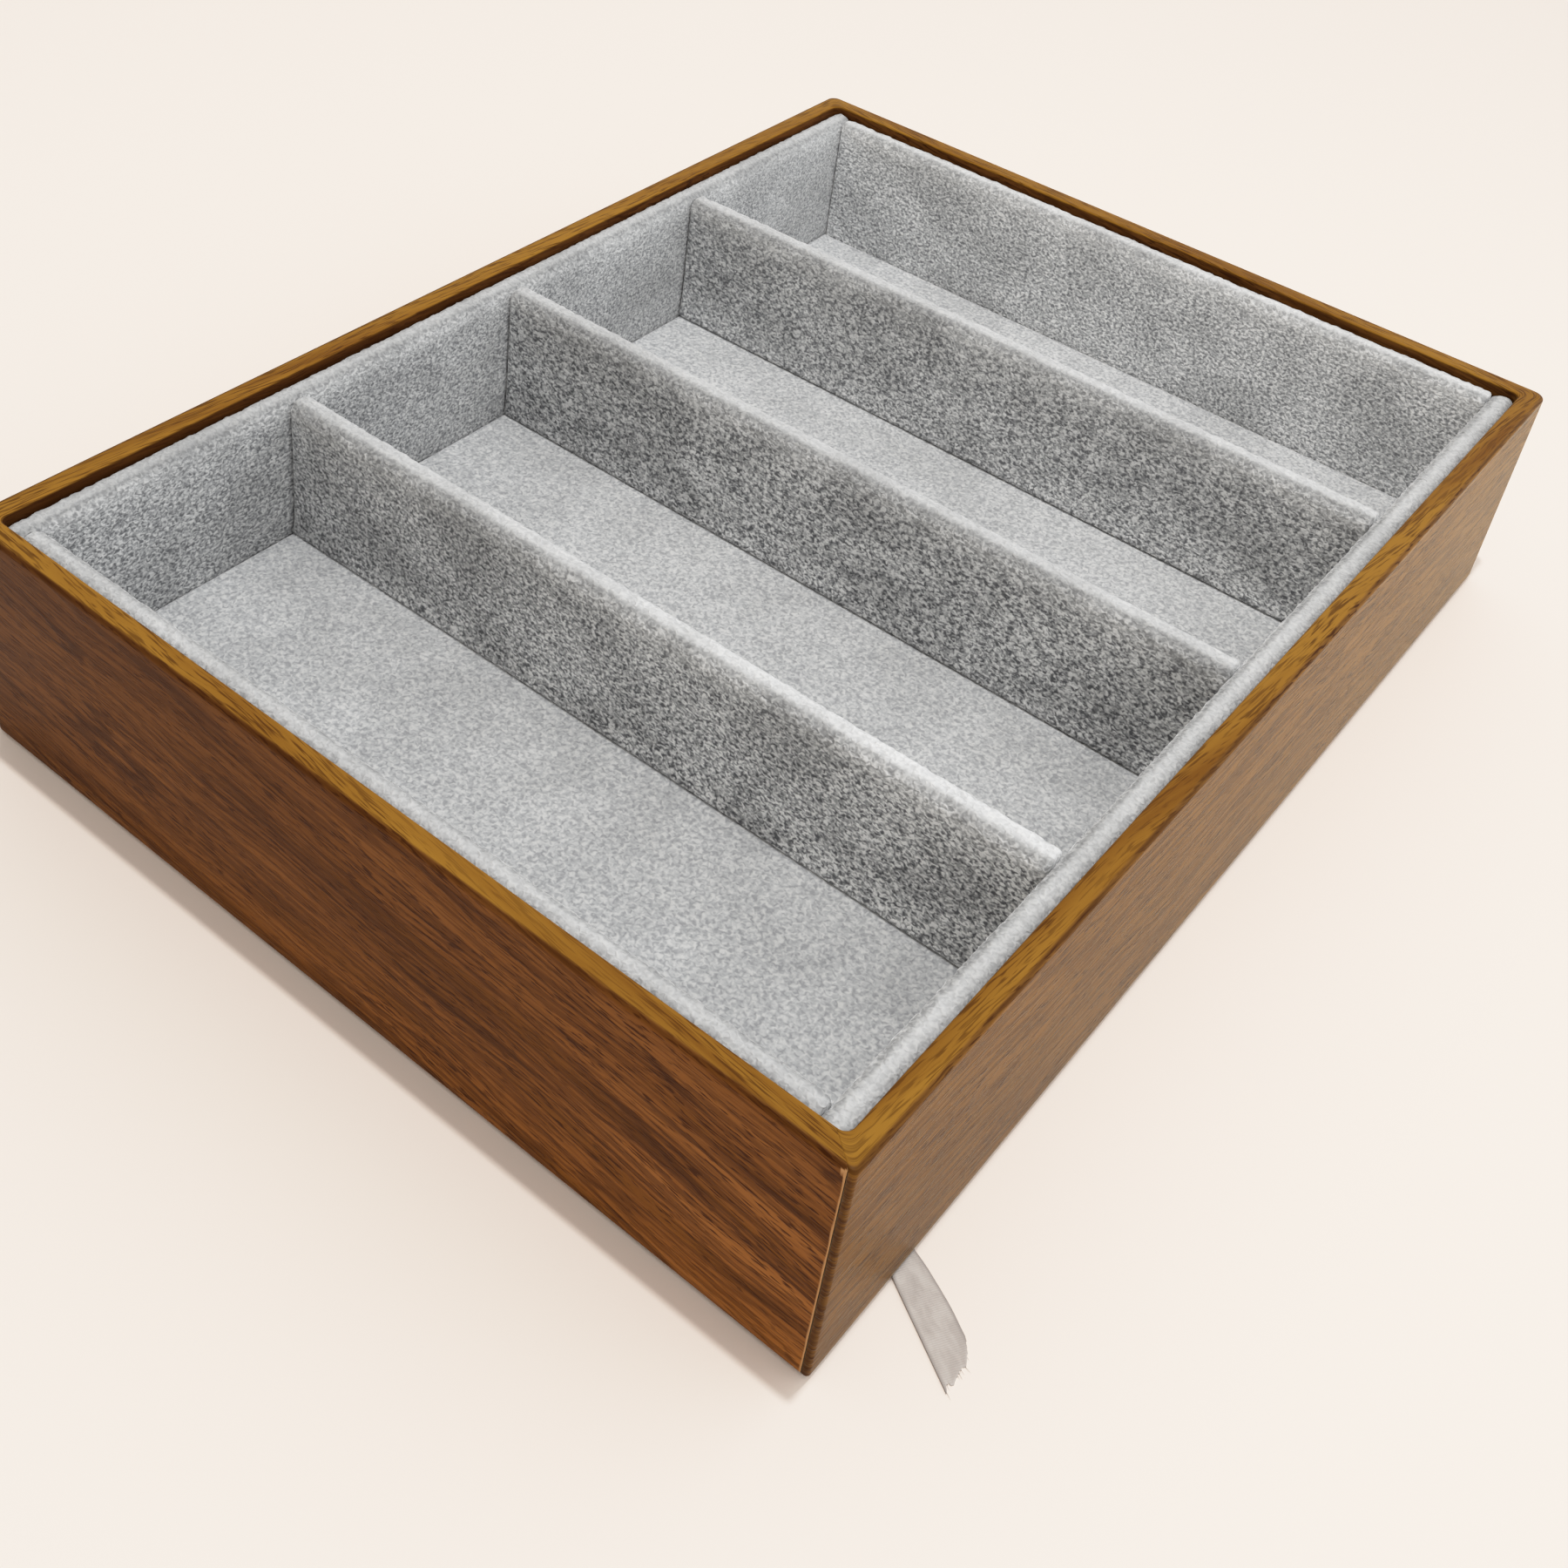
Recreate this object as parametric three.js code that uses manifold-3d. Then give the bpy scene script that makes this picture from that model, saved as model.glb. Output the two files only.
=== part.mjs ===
// Glasses storage box: an open tray with four velvet-lined compartments.
// Millimetres, +Z up. X runs along the compartments, Y across them.
// The origin is the middle of the footprint, on the surface that the box stands on.

import * as THREE from 'three';
import { mergeVertices } from 'three/addons/utils/BufferGeometryUtils.js';
import Module from 'manifold-3d';

const wasm = await Module();
wasm.setup();

// Overall size
const boxWidth = 180;
const boxLength = 245;
const boxHeight = 46.5;
const compartmentCount = 4;

// Frame boards, base board and the film that wraps them
const boardThickness = 3;
const baseThickness = 3;
const wrapThickness = 0.7;
const wrapTurnIn = 12;
const wrapTurnUnder = 9;
const rimRound = 1.2;
const wallFootRound = 0.6;
const outerCornerRound = 3.2;
const seamCornerRound = 0.7;
const innerCornerRound = 1.2;
const seamGap = 0.3;

// Soft lining
const velvetThickness = 1.1;
const linerCoreThickness = 2;
const dividerCoreThickness = 3;
const liningDrop = 1.7;
const linerTopRound = 1.9;
const dividerTopRound = 2.2;
const panelEndRound = 1.5;
const velvetTurnIn = 12;
const floorEdgeRound = 0.9;

// Floor
const foamThickness = 9;
const floorCardThickness = 1.4;

// Bottom lining and ribbon
const liningThickness = 0.6;
const liningInset = 3;
const liningCornerRound = 4;
const ribbonWidth = 5.2;
const ribbonThickness = 0.2;
const ribbonGluedLength = 22;
const ribbonTailReach = 15;
const ribbonTeeth = 3;
const ribbonFrayDepth = 1.2;
const ribbonFromFront = 22.6;
const ribbonHeading = THREE.MathUtils.degToRad(-31);

// Clearances
const glueLine = 0.05;
const velvetGap = 0.4;
const cornerEase = 0.4;
const ribbonFoldGap = 0.3;
const ribbonSideClearance = 0.4;

const arcSteps = 5;

// Heights that the stack under the floor gives
const wallFoot = liningThickness + glueLine;
const boardFoot = wallFoot + wrapThickness + glueLine;
const boardTop = boxHeight - wrapThickness - glueLine;
const baseTop = boardFoot + baseThickness;
const foamFoot = baseTop + glueLine;
const cardFoot = foamFoot + foamThickness + glueLine;
const floorTop = cardFoot + floorCardThickness + glueLine + velvetThickness;
const dividerFoot = floorTop + glueLine;
const liningTop = boxHeight - liningDrop;

// Distances inwards from the outside of the wall
const boardOffset = wrapThickness + glueLine;
const baseOffset = boardOffset + boardThickness + glueLine;
const wallThickness = baseOffset + wrapThickness;
const linerOffset = wallThickness + glueLine;
const linerThickness = linerCoreThickness + 2 * (glueLine + velvetThickness);
const liningOffset = linerOffset + linerThickness;
const dividerThickness = dividerCoreThickness + 2 * (glueLine + velvetThickness);

// Space inside the liners, and the dividers in it
const insideWidth = boxWidth - 2 * liningOffset;
const insideLength = boxLength - 2 * liningOffset;
const dividerPitch = (insideLength + dividerThickness) / compartmentCount;

// Closed geometry to solid, for cuts and joins
function toSolid(geometry) {
  const bare = geometry.clone();
  bare.deleteAttribute('normal');
  bare.deleteAttribute('uv');
  const merged = mergeVertices(bare, 1e-5);
  const mesh = new wasm.Mesh({
    numProp: 3,
    vertProperties: new Float32Array(merged.attributes.position.array),
    triVerts: new Uint32Array(merged.index.array),
  });
  return new wasm.Manifold(mesh);
}

function toGeometry(solid) {
  const mesh = solid.getMesh();
  const geometry = new THREE.BufferGeometry();
  geometry.setAttribute('position', new THREE.BufferAttribute(new Float32Array(mesh.vertProperties), 3));
  geometry.setIndex(new THREE.BufferAttribute(new Uint32Array(mesh.triVerts), 1));
  geometry.computeVertexNormals();
  return geometry;
}

// A box given by its low and high corners
function blockBetween(low, high) {
  const size = new THREE.Vector3().subVectors(high, low);
  const middle = new THREE.Vector3().addVectors(high, low).multiplyScalar(0.5);
  return new THREE.BoxGeometry(size.x, size.y, size.z).translate(middle.x, middle.y, middle.z);
}

function blockSolid(lowX, highX, lowY, highY, lowZ, highZ) {
  return toSolid(blockBetween(new THREE.Vector3(lowX, lowY, lowZ), new THREE.Vector3(highX, highY, highZ)));
}

// A flat piece cut to an outline in plan
function sheet(outline, thickness) {
  return new THREE.ExtrudeGeometry(outline, { depth: thickness, bevelEnabled: false, curveSegments: arcSteps });
}

function roundedOutline(halfX, halfY, radius) {
  const outline = new THREE.Shape();
  outline.moveTo(-halfX + radius, -halfY);
  outline.absarc(halfX - radius, -halfY + radius, radius, -Math.PI / 2, 0);
  outline.absarc(halfX - radius, halfY - radius, radius, 0, Math.PI / 2);
  outline.absarc(-halfX + radius, halfY - radius, radius, Math.PI / 2, Math.PI);
  outline.absarc(-halfX + radius, -halfY + radius, radius, Math.PI, Math.PI * 1.5);
  return outline;
}

// A panel standing on z = 0, length along X and thickness along Y, both centred,
// with a rounded top and rounded upright ends
function roundedPanel(length, thickness, height, topRound, endRound) {
  const half = thickness / 2;
  const section = new THREE.Shape();
  section.moveTo(-half, 0);
  section.lineTo(half, 0);
  section.absarc(half - topRound, height - topRound, topRound, 0, Math.PI / 2);
  section.absarc(-half + topRound, height - topRound, topRound, Math.PI / 2, Math.PI);
  const swept = sheet(section, length).translate(0, 0, -length / 2);
  const sectionToPanel = new THREE.Matrix4().makeBasis(
    new THREE.Vector3(0, 1, 0), new THREE.Vector3(0, 0, 1), new THREE.Vector3(1, 0, 0));
  swept.applyMatrix4(sectionToPanel);
  const plan = sheet(roundedOutline(length / 2, half, endRound), height);
  return toSolid(swept).intersect(toSolid(plan));
}

const box = new THREE.Group();

function addPiece(name, geometry, material, parent = box) {
  const mesh = new THREE.Mesh(geometry, material);
  mesh.name = name;
  parent.add(mesh);
}

const mdf = () => new THREE.MeshStandardMaterial({ color: 0xa98a63, roughness: 0.9, metalness: 0 });
const greyBoard = () => new THREE.MeshStandardMaterial({ color: 0x8f8b84, roughness: 0.95, metalness: 0 });
const velvet = () => new THREE.MeshStandardMaterial({ color: 0xa9adae, roughness: 1, metalness: 0 });
const woodFilm = () => new THREE.MeshStandardMaterial({ color: 0x7d5229, roughness: 0.45, metalness: 0 });
const foam = () => new THREE.MeshStandardMaterial({ color: 0xd9d6cc, roughness: 1, metalness: 0 });
const flannel = () => new THREE.MeshStandardMaterial({ color: 0x3b332c, roughness: 1, metalness: 0 });
const satin = () => new THREE.MeshStandardMaterial({ color: 0xc6beb6, roughness: 0.5, metalness: 0 });

// Walls in turn, counter-clockwise from the front: the wall's direction, its distance from the
// middle, its half length, and the rounding at its two corners. The wrap's seam is at the corner
// between the front and the right wall.
const walls = [
  { name: 'front', turn: 0, reach: boxLength / 2, half: boxWidth / 2, rounds: [outerCornerRound, seamCornerRound] },
  { name: 'right', turn: 1, reach: boxWidth / 2, half: boxLength / 2, rounds: [seamCornerRound, outerCornerRound] },
  { name: 'back', turn: 2, reach: boxLength / 2, half: boxWidth / 2, rounds: [outerCornerRound, outerCornerRound] },
  { name: 'left', turn: 3, reach: boxWidth / 2, half: boxLength / 2, rounds: [outerCornerRound, outerCornerRound] },
];

// A frame that puts local X along the wall, local Y inwards, and the origin at the wall's outer face
function wallGroup(wall) {
  const group = new THREE.Group();
  group.rotation.z = wall.turn * Math.PI / 2;
  group.position.set(0, -wall.reach, 0).applyAxisAngle(new THREE.Vector3(0, 0, 1), group.rotation.z);
  box.add(group);
  return group;
}

// Corner rounding of the wrap at a distance inwards from its outer face
function wrapCorner(outerRound, offset) {
  const share = Math.min(offset / wallThickness, 1);
  return outerRound + (innerCornerRound - outerRound) * share;
}

// Frame board: mitred ends, with the outer corners eased to lie inside the wrap
function boardOutline(wall) {
  const half = wall.half - boardOffset - glueLine;
  const [startRound, endRound] = wall.rounds.map((round) => wrapCorner(round, boardOffset) + cornerEase);
  const outline = new THREE.Shape();
  outline.moveTo(-half + boardThickness, boardThickness);
  outline.absarc(-half + startRound, startRound, startRound, -Math.PI * 0.75, -Math.PI * 0.5);
  outline.absarc(half - endRound, endRound, endRound, -Math.PI * 0.5, -Math.PI * 0.25);
  outline.lineTo(half - boardThickness, boardThickness);
  return outline;
}

for (const wall of walls) {
  const board = sheet(boardOutline(wall), boardTop - boardFoot).translate(0, boardOffset, boardFoot);
  addPiece(`${wall.name}_board`, board, mdf(), wallGroup(wall));
}

const baseHalfX = boxWidth / 2 - baseOffset;
const baseHalfY = boxLength / 2 - baseOffset;
addPiece('base_board', blockBetween(
  new THREE.Vector3(-baseHalfX, -baseHalfY, boardFoot),
  new THREE.Vector3(baseHalfX, baseHalfY, baseTop)), mdf());

// Wrap: one strip whose section turns under the wall, up its outside, over the rim and down inside,
// carried round the frame from the seam corner back to the seam corner
function wrapSection() {
  const section = new THREE.Shape();
  section.moveTo(wrapTurnUnder, wallFoot);
  section.lineTo(wallFootRound, wallFoot);
  section.absarc(wallFootRound, wallFoot + wallFootRound, wallFootRound, -Math.PI / 2, -Math.PI, true);
  section.absarc(rimRound, boxHeight - rimRound, rimRound, Math.PI, Math.PI / 2, true);
  section.absarc(wallThickness - rimRound, boxHeight - rimRound, rimRound, Math.PI / 2, 0, true);
  section.lineTo(wallThickness, boxHeight - wrapTurnIn);
  section.lineTo(wallThickness - wrapThickness, boxHeight - wrapTurnIn);
  section.lineTo(wallThickness - wrapThickness, boxHeight - wrapThickness);
  section.lineTo(wrapThickness, boxHeight - wrapThickness);
  section.lineTo(wrapThickness, wallFoot + wrapThickness);
  section.lineTo(wrapTurnUnder, wallFoot + wrapThickness);
  const points = section.extractPoints(arcSteps).shape;
  return THREE.ShapeUtils.isClockWise(points) ? points.reverse() : points;
}

// Stations round the frame: a corner, an angle in its rounding, and a shift that opens the seam
function wrapStations() {
  const corners = [[1, -1, seamCornerRound], [1, 1, outerCornerRound], [-1, 1, outerCornerRound],
    [-1, -1, outerCornerRound], [1, -1, seamCornerRound]];
  const seamShift = seamGap / Math.SQRT2;
  const stations = [];
  corners.forEach(([signX, signY, round], index) => {
    const isStart = index === 0;
    const isEnd = index === corners.length - 1;
    const from = (index - (isStart ? 0.5 : 1)) * Math.PI / 2;
    const to = (index - (isEnd ? 0.5 : 0)) * Math.PI / 2;
    for (let step = 0; step <= arcSteps; step++) {
      const angle = from + (to - from) * step / arcSteps;
      const shift = new THREE.Vector2();
      if (isStart && step === 0) shift.y = seamShift;
      if (isEnd && step === arcSteps) shift.x = -seamShift;
      stations.push({ signX, signY, round, angle, shift });
    }
  });
  return stations;
}

function wrapGeometry() {
  const section = wrapSection();
  const stations = wrapStations();
  const positions = [];
  for (const { signX, signY, round, angle, shift } of stations) {
    for (const point of section) {
      const radius = wrapCorner(round, point.x);
      const centreX = signX * (boxWidth / 2 - point.x - radius);
      const centreY = signY * (boxLength / 2 - point.x - radius);
      positions.push(centreX + radius * Math.cos(angle) + shift.x);
      positions.push(centreY + radius * Math.sin(angle) + shift.y);
      positions.push(point.y);
    }
  }
  const count = section.length;
  const triangles = [];
  for (let station = 0; station < stations.length - 1; station++) {
    for (let point = 0; point < count; point++) {
      const a = station * count + point;
      const b = station * count + (point + 1) % count;
      triangles.push(a, b, b + count, a, b + count, a + count);
    }
  }
  const lastRing = (stations.length - 1) * count;
  for (const [a, b, c] of THREE.ShapeUtils.triangulateShape(section, [])) {
    triangles.push(c, b, a);
    triangles.push(lastRing + a, lastRing + b, lastRing + c);
  }
  const geometry = new THREE.BufferGeometry();
  geometry.setAttribute('position', new THREE.Float32BufferAttribute(positions, 3));
  geometry.setIndex(triangles);
  geometry.computeVertexNormals();
  return geometry;
}

addPiece('wood_grain_wrap', wrapGeometry(), woodFilm());

// Velvet sleeve over a core board: it covers both faces, the top and the ends, and is open below.
// A liner's back is covered only by the turned-in hem at the top.
function panelPieces(length, height, coreThickness, topRound, isLiner) {
  const thickness = coreThickness + 2 * (glueLine + velvetThickness);
  const coreHalfX = length / 2 - velvetThickness - glueLine;
  const coreTop = height - velvetThickness - glueLine;
  const core = blockBetween(
    new THREE.Vector3(-coreHalfX, -coreThickness / 2, 0),
    new THREE.Vector3(coreHalfX, coreThickness / 2, coreTop));
  const pocket = blockSolid(
    -coreHalfX - glueLine, coreHalfX + glueLine,
    -coreThickness / 2 - glueLine, coreThickness / 2 + glueLine, -height, coreTop + glueLine);
  let sleeve = roundedPanel(length, thickness, height, topRound, panelEndRound).subtract(pocket);
  if (isLiner) {
    const backRelief = blockSolid(
      -length, length, -thickness, -coreThickness / 2 - glueLine, -height, height - velvetTurnIn);
    sleeve = sleeve.subtract(backRelief);
  }
  return { core, sleeve: toGeometry(sleeve) };
}

// Liners: left and right run the full length, front and back fit between them
const linerHeight = liningTop - foamFoot;
for (const wall of walls) {
  const isFull = wall.turn % 2 === 1;
  const length = 2 * (wall.half - (isFull ? wallThickness : liningOffset) - velvetGap);
  const { core, sleeve } = panelPieces(length, linerHeight, linerCoreThickness, linerTopRound, true);
  const middle = linerOffset + linerThickness / 2;
  const group = wallGroup(wall);
  addPiece(`${wall.name}_liner_core`, core.translate(0, middle, foamFoot), greyBoard(), group);
  addPiece(`${wall.name}_liner_velvet`, sleeve.translate(0, middle, foamFoot), velvet(), group);
}

// Floor: foam on the base board, then a card covered in velvet
const floorHalfX = insideWidth / 2 - velvetGap;
const floorHalfY = insideLength / 2 - velvetGap;
const cardHalfX = floorHalfX - velvetThickness - glueLine;
const cardHalfY = floorHalfY - velvetThickness - glueLine;
addPiece('foam_pad', blockBetween(
  new THREE.Vector3(-floorHalfX, -floorHalfY, foamFoot),
  new THREE.Vector3(floorHalfX, floorHalfY, foamFoot + foamThickness)), foam());
addPiece('floor_card', blockBetween(
  new THREE.Vector3(-cardHalfX, -cardHalfY, cardFoot),
  new THREE.Vector3(cardHalfX, cardHalfY, cardFoot + floorCardThickness)), greyBoard());

const floorCover = roundedPanel(
  2 * floorHalfX, 2 * floorHalfY, floorTop - cardFoot, floorEdgeRound, panelEndRound);
const cardPocket = blockSolid(
  -cardHalfX - glueLine, cardHalfX + glueLine, -cardHalfY - glueLine, cardHalfY + glueLine,
  -floorTop, floorCardThickness + glueLine);
addPiece('floor_velvet', toGeometry(floorCover.subtract(cardPocket)).translate(0, 0, cardFoot), velvet());

// Dividers: equal compartments, standing on the floor between the left and right liners
for (let index = 1; index < compartmentCount; index++) {
  const { core, sleeve } = panelPieces(
    insideWidth - 2 * velvetGap, liningTop - dividerFoot, dividerCoreThickness, dividerTopRound, false);
  const group = new THREE.Group();
  group.position.set(0, -insideLength / 2 - dividerThickness / 2 + index * dividerPitch, dividerFoot);
  box.add(group);
  addPiece(`divider_${index}_core`, core, greyBoard(), group);
  addPiece(`divider_${index}_velvet`, sleeve, velvet(), group);
}

// Ribbon: its glued end lies in a channel pressed into the bottom lining, and its tail lies on the
// table and folds up at the foot of the right wall
const foldX = boxWidth / 2 + ribbonFoldGap / 2;
const ribbonExitY = -boxLength / 2 + ribbonFromFront;
const along = new THREE.Vector2(Math.cos(ribbonHeading), Math.sin(ribbonHeading));
const across = new THREE.Vector2(-along.y, along.x);
const ribbonOrigin = new THREE.Vector2(foldX, ribbonExitY);

// A point on the ribbon, by its distance along and across it
function onRibbon(distance, side) {
  return ribbonOrigin.clone().addScaledVector(along, distance).addScaledVector(across, side);
}

// The point where a line along the ribbon crosses a line across the wall
function ribbonAtX(x, side) {
  return onRibbon((x - foldX - side * across.x) / along.x, side);
}

function ribbonStrip(halfWidth, length, endX) {
  return new THREE.Shape([
    onRibbon(-length, halfWidth), onRibbon(-length, -halfWidth),
    ribbonAtX(endX, -halfWidth), ribbonAtX(endX, halfWidth)]);
}

const ribbonHalf = ribbonWidth / 2;
const channelDepth = ribbonThickness + 2 * glueLine;
const anchorFoot = liningThickness - glueLine - ribbonThickness;
const anchor = sheet(ribbonStrip(ribbonHalf, ribbonGluedLength, foldX - ribbonFoldGap / 2), ribbonThickness);
addPiece('ribbon_anchor', anchor.translate(0, 0, anchorFoot), satin());

// The tail's end is cut in line with the wall, and has frayed into teeth
function tailOutline() {
  const inner = foldX + ribbonFoldGap / 2;
  const end = boxWidth / 2 + ribbonTailReach;
  const toothWidth = ribbonWidth / ribbonTeeth;
  const points = [ribbonAtX(inner, ribbonHalf)];
  points.push(ribbonAtX(inner, -ribbonHalf));
  for (let tooth = 0; tooth < ribbonTeeth; tooth++) {
    const side = -ribbonHalf + tooth * toothWidth;
    points.push(ribbonAtX(end, side));
    points.push(ribbonAtX(end - ribbonFrayDepth, side + toothWidth / 2));
  }
  points.push(ribbonAtX(end, ribbonHalf));
  return new THREE.Shape(points);
}

addPiece('ribbon_tail', sheet(tailOutline(), ribbonThickness), satin());

// Bottom lining: covers the turned-under wrap, with the channel for the ribbon
const lining = toSolid(sheet(
  roundedOutline(boxWidth / 2 - liningInset, boxLength / 2 - liningInset, liningCornerRound), liningThickness));
const channelHalf = ribbonHalf + ribbonSideClearance;
const channelLength = ribbonGluedLength + ribbonSideClearance;
const channel = sheet(ribbonStrip(channelHalf, channelLength, boxWidth / 2), channelDepth + liningThickness);
channel.translate(0, 0, liningThickness - channelDepth);
addPiece('bottom_lining', toGeometry(lining.subtract(toSolid(channel))), flannel());

export default box;
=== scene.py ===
# %% [markdown]
# # A velvet-lined storage box
# The box is a fibreboard frame wrapped in one strip of printed walnut film. Inside it stand
# velvet-covered panels: four liners against the walls and three dividers, on a velvet floor. A short
# ribbon comes out from under one wall. The solids come from the CAD frame. Here each soft piece gets its
# nap, and each surface its finish. The frame's own sizes drive the shapes: only the pile, the film on the
# rim and a few loose threads stand about a millimetre proud of them.

# %% Load the frame
import math

import bpy
import numpy as np
from mathutils import Matrix, Vector, noise


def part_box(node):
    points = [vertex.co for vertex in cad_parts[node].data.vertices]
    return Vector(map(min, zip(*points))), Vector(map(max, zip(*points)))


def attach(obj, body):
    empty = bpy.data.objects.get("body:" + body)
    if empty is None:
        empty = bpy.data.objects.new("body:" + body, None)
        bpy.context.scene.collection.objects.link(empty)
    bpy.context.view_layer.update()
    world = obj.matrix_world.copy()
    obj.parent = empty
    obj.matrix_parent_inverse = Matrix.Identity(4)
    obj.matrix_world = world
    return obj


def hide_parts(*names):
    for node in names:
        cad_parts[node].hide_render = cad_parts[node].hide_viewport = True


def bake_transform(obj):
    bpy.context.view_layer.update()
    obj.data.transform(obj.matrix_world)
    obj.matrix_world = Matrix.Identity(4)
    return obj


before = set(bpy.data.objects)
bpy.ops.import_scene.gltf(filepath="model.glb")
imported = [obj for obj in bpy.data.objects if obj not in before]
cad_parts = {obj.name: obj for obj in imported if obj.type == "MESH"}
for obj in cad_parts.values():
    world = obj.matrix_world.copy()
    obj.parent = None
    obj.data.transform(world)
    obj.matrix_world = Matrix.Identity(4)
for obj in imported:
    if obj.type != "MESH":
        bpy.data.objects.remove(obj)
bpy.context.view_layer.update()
scene = bpy.context.scene
MM = 0.001
print("CAD nodes:", len(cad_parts))

# %% [markdown]
# ## Camera
# The photograph is a crop from a larger picture, so the lens axis isn't in its middle. A camera in
# Blender has a shift for that. The angles and the lens were solved from the straight edges of the rim and
# the walls: with a known length, width and height, eight corners fix where the camera stood.

# %% Camera
PHOTO_SIDE_PX = 1800
FOCAL_PX = 2229.45
LENS_AXIS_PX = (798.68, 567.34)
SENSOR_WIDTH_MM = 36
CAMERA_AZIMUTH, CAMERA_ELEVATION, CAMERA_ROLL = (math.radians(a) for a in (35.135, 36.455, 6.584))
CAMERA_PLACE = Vector((147.63, -253.97, 249.54)) * MM

back = Vector((
    math.sin(CAMERA_AZIMUTH) * math.cos(CAMERA_ELEVATION),
    -math.cos(CAMERA_AZIMUTH) * math.cos(CAMERA_ELEVATION),
    math.sin(CAMERA_ELEVATION),
))
level_right = Vector((0, 0, 1)).cross(back).normalized()
level_up = back.cross(level_right)
right = level_right * math.cos(CAMERA_ROLL) + level_up * math.sin(CAMERA_ROLL)
up = level_up * math.cos(CAMERA_ROLL) - level_right * math.sin(CAMERA_ROLL)

camera_data = bpy.data.cameras.new("photo_camera")
camera_data.sensor_width = SENSOR_WIDTH_MM
camera_data.lens = FOCAL_PX / PHOTO_SIDE_PX * SENSOR_WIDTH_MM
camera_data.shift_x = (PHOTO_SIDE_PX / 2 - LENS_AXIS_PX[0]) / PHOTO_SIDE_PX
camera_data.shift_y = (LENS_AXIS_PX[1] - PHOTO_SIDE_PX / 2) / PHOTO_SIDE_PX
camera_data.clip_start = 10 * MM
camera = bpy.data.objects.new("photo_camera", camera_data)
camera.matrix_world = Matrix.Translation(CAMERA_PLACE) @ Matrix((right, up, back)).transposed().to_4x4()
scene.collection.objects.link(camera)
scene.camera = camera
print("lens", round(camera_data.lens, 2), "mm")

# %% [markdown]
# ## Helpers for materials
# A colour picked from a screen is an sRGB hex value, while a shader works with linear light, so one
# function turns the first into the second. One more function adds a node with its settings and its links,
# and hands back one of its outputs: a material is a chain of such lines. Blender's mix node has inputs of
# the same name for several kinds of value, so the ones for colours are picked by their number.

# %% Colour and node helpers
BLEND = {"data_type": "RGBA"}
MULTIPLY = {"data_type": "RGBA", "blend_type": "MULTIPLY"}
FACTOR, UNDER, OVER, MIXED = 0, 6, 7, 2
NEW_STOP = 0.5


def linear(hex_colour):
    """An sRGB hex colour as linear red, green, blue and alpha."""
    values = [int(hex_colour[i:i + 2], 16) / 255 for i in (1, 3, 5)]
    return [v / 12.92 if v <= 0.04045 else ((v + 0.055) / 1.055) ** 2.4 for v in values] + [1.0]


def add_node(tree, kind, settings=None, inputs=None, output=0, stops=()):
    """Adds a node and returns one of its outputs. An input takes another node's output, a value or a hex
    colour. Stops of (place, hex colour) fill a colour ramp."""
    node = tree.nodes.new(kind)
    for name, value in (settings or {}).items():
        setattr(node, name, value)
    for name, value in (inputs or {}).items():
        if isinstance(value, bpy.types.NodeSocket):
            tree.links.new(value, node.inputs[name])
        else:
            node.inputs[name].default_value = linear(value) if isinstance(value, str) else value
    if stops:
        elements = node.color_ramp.elements
        while len(elements) < len(stops):
            elements.new(NEW_STOP)
        for element, (place, colour) in zip(elements, stops):
            element.position = place
            element.color = linear(colour)
    return node.outputs[output]


print("mid grey in linear light:", round(linear("#808080")[0], 3))

# %% [markdown]
# Most patterns here are noise that is stretched to a real size in millimetres, and every material starts
# from Blender's Principled shader. Relief that is too shallow to model is a bump.

# %% Pattern and material helpers
NOISE_ROUGHNESS = 0.55
SEED_SHIFT = (1.7, 2.3, 3.1)


def stretched_noise(tree, place, sizes, seed, detail, distortion=0.25):
    """Noise whose marks have those sizes in metres along the three axes; None leaves an axis out."""
    mapped = add_node(tree, "ShaderNodeMapping", inputs={
        "Vector": place, "Location": [seed * shift for shift in SEED_SHIFT],
        "Scale": [1 / size if size else 0.0 for size in sizes]})
    return add_node(tree, "ShaderNodeTexNoise", inputs={
        "Vector": mapped, "Scale": 1.0, "Detail": detail, "Roughness": NOISE_ROUGHNESS,
        "Distortion": distortion}, output="Fac")


def new_material(name, settings):
    """An empty material with its Principled shader set up, as (material, node tree, shader)."""
    material = bpy.data.materials.new(name)
    material.use_nodes = True
    tree = material.node_tree
    shader = tree.nodes["Principled BSDF"]
    for socket, value in settings.items():
        shader.inputs[socket].default_value = value
    return material, tree, shader


def dress(tree, shader, colour, height, depth, strength, dents=False):
    """Gives a shader its colour, and relief from a height in the range 0 to 1, of that depth in metres."""
    tree.links.new(colour, shader.inputs["Base Color"])
    relief = add_node(tree, "ShaderNodeBump", {"invert": dents}, {
        "Strength": strength, "Distance": depth, "Height": height}, "Normal")
    tree.links.new(relief, shader.inputs["Normal"])


print("materials so far:", len(bpy.data.materials))

# %% [markdown]
# ## Velvet
# The lining is short-pile polyester velvet: a knitted ground with millions of upright fibres about a
# millimetre long. It has almost no gloss. It looks pale where the fibre tips catch the light and dark
# where one looks down between them. On an upright face the pile hangs apart in small tufts, so the dark
# gaps show as short worm-like marks. On the floor and along the top edges the tips stand together, and
# the cloth looks even. Hair would be true to life but heavy, so the tufts are drawn in colour and bump: on
# an upright face the colour holds painted shade in the gaps and painted light on the tips. Values on the
# mesh say how far the cloth looks up, where painted light brightens the top and the face just below it,
# and how bright the nap looks, partly painted light. Principled's sheen gives the pale edges.

# %% Velvet material
# A single fibre is too fine to show in the picture, so the smallest mark is a tuft of them.
PILE_TUFT = (0.72 * MM, 0.72 * MM, 0.56 * MM)
PILE_HEIGHT, PILE_RELIEF = 0.3 * MM, 0.8
BRUSHED_PATCH = (17 * MM, 17 * MM, 12 * MM)
STANDING_EVENNESS = 0.55


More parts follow.
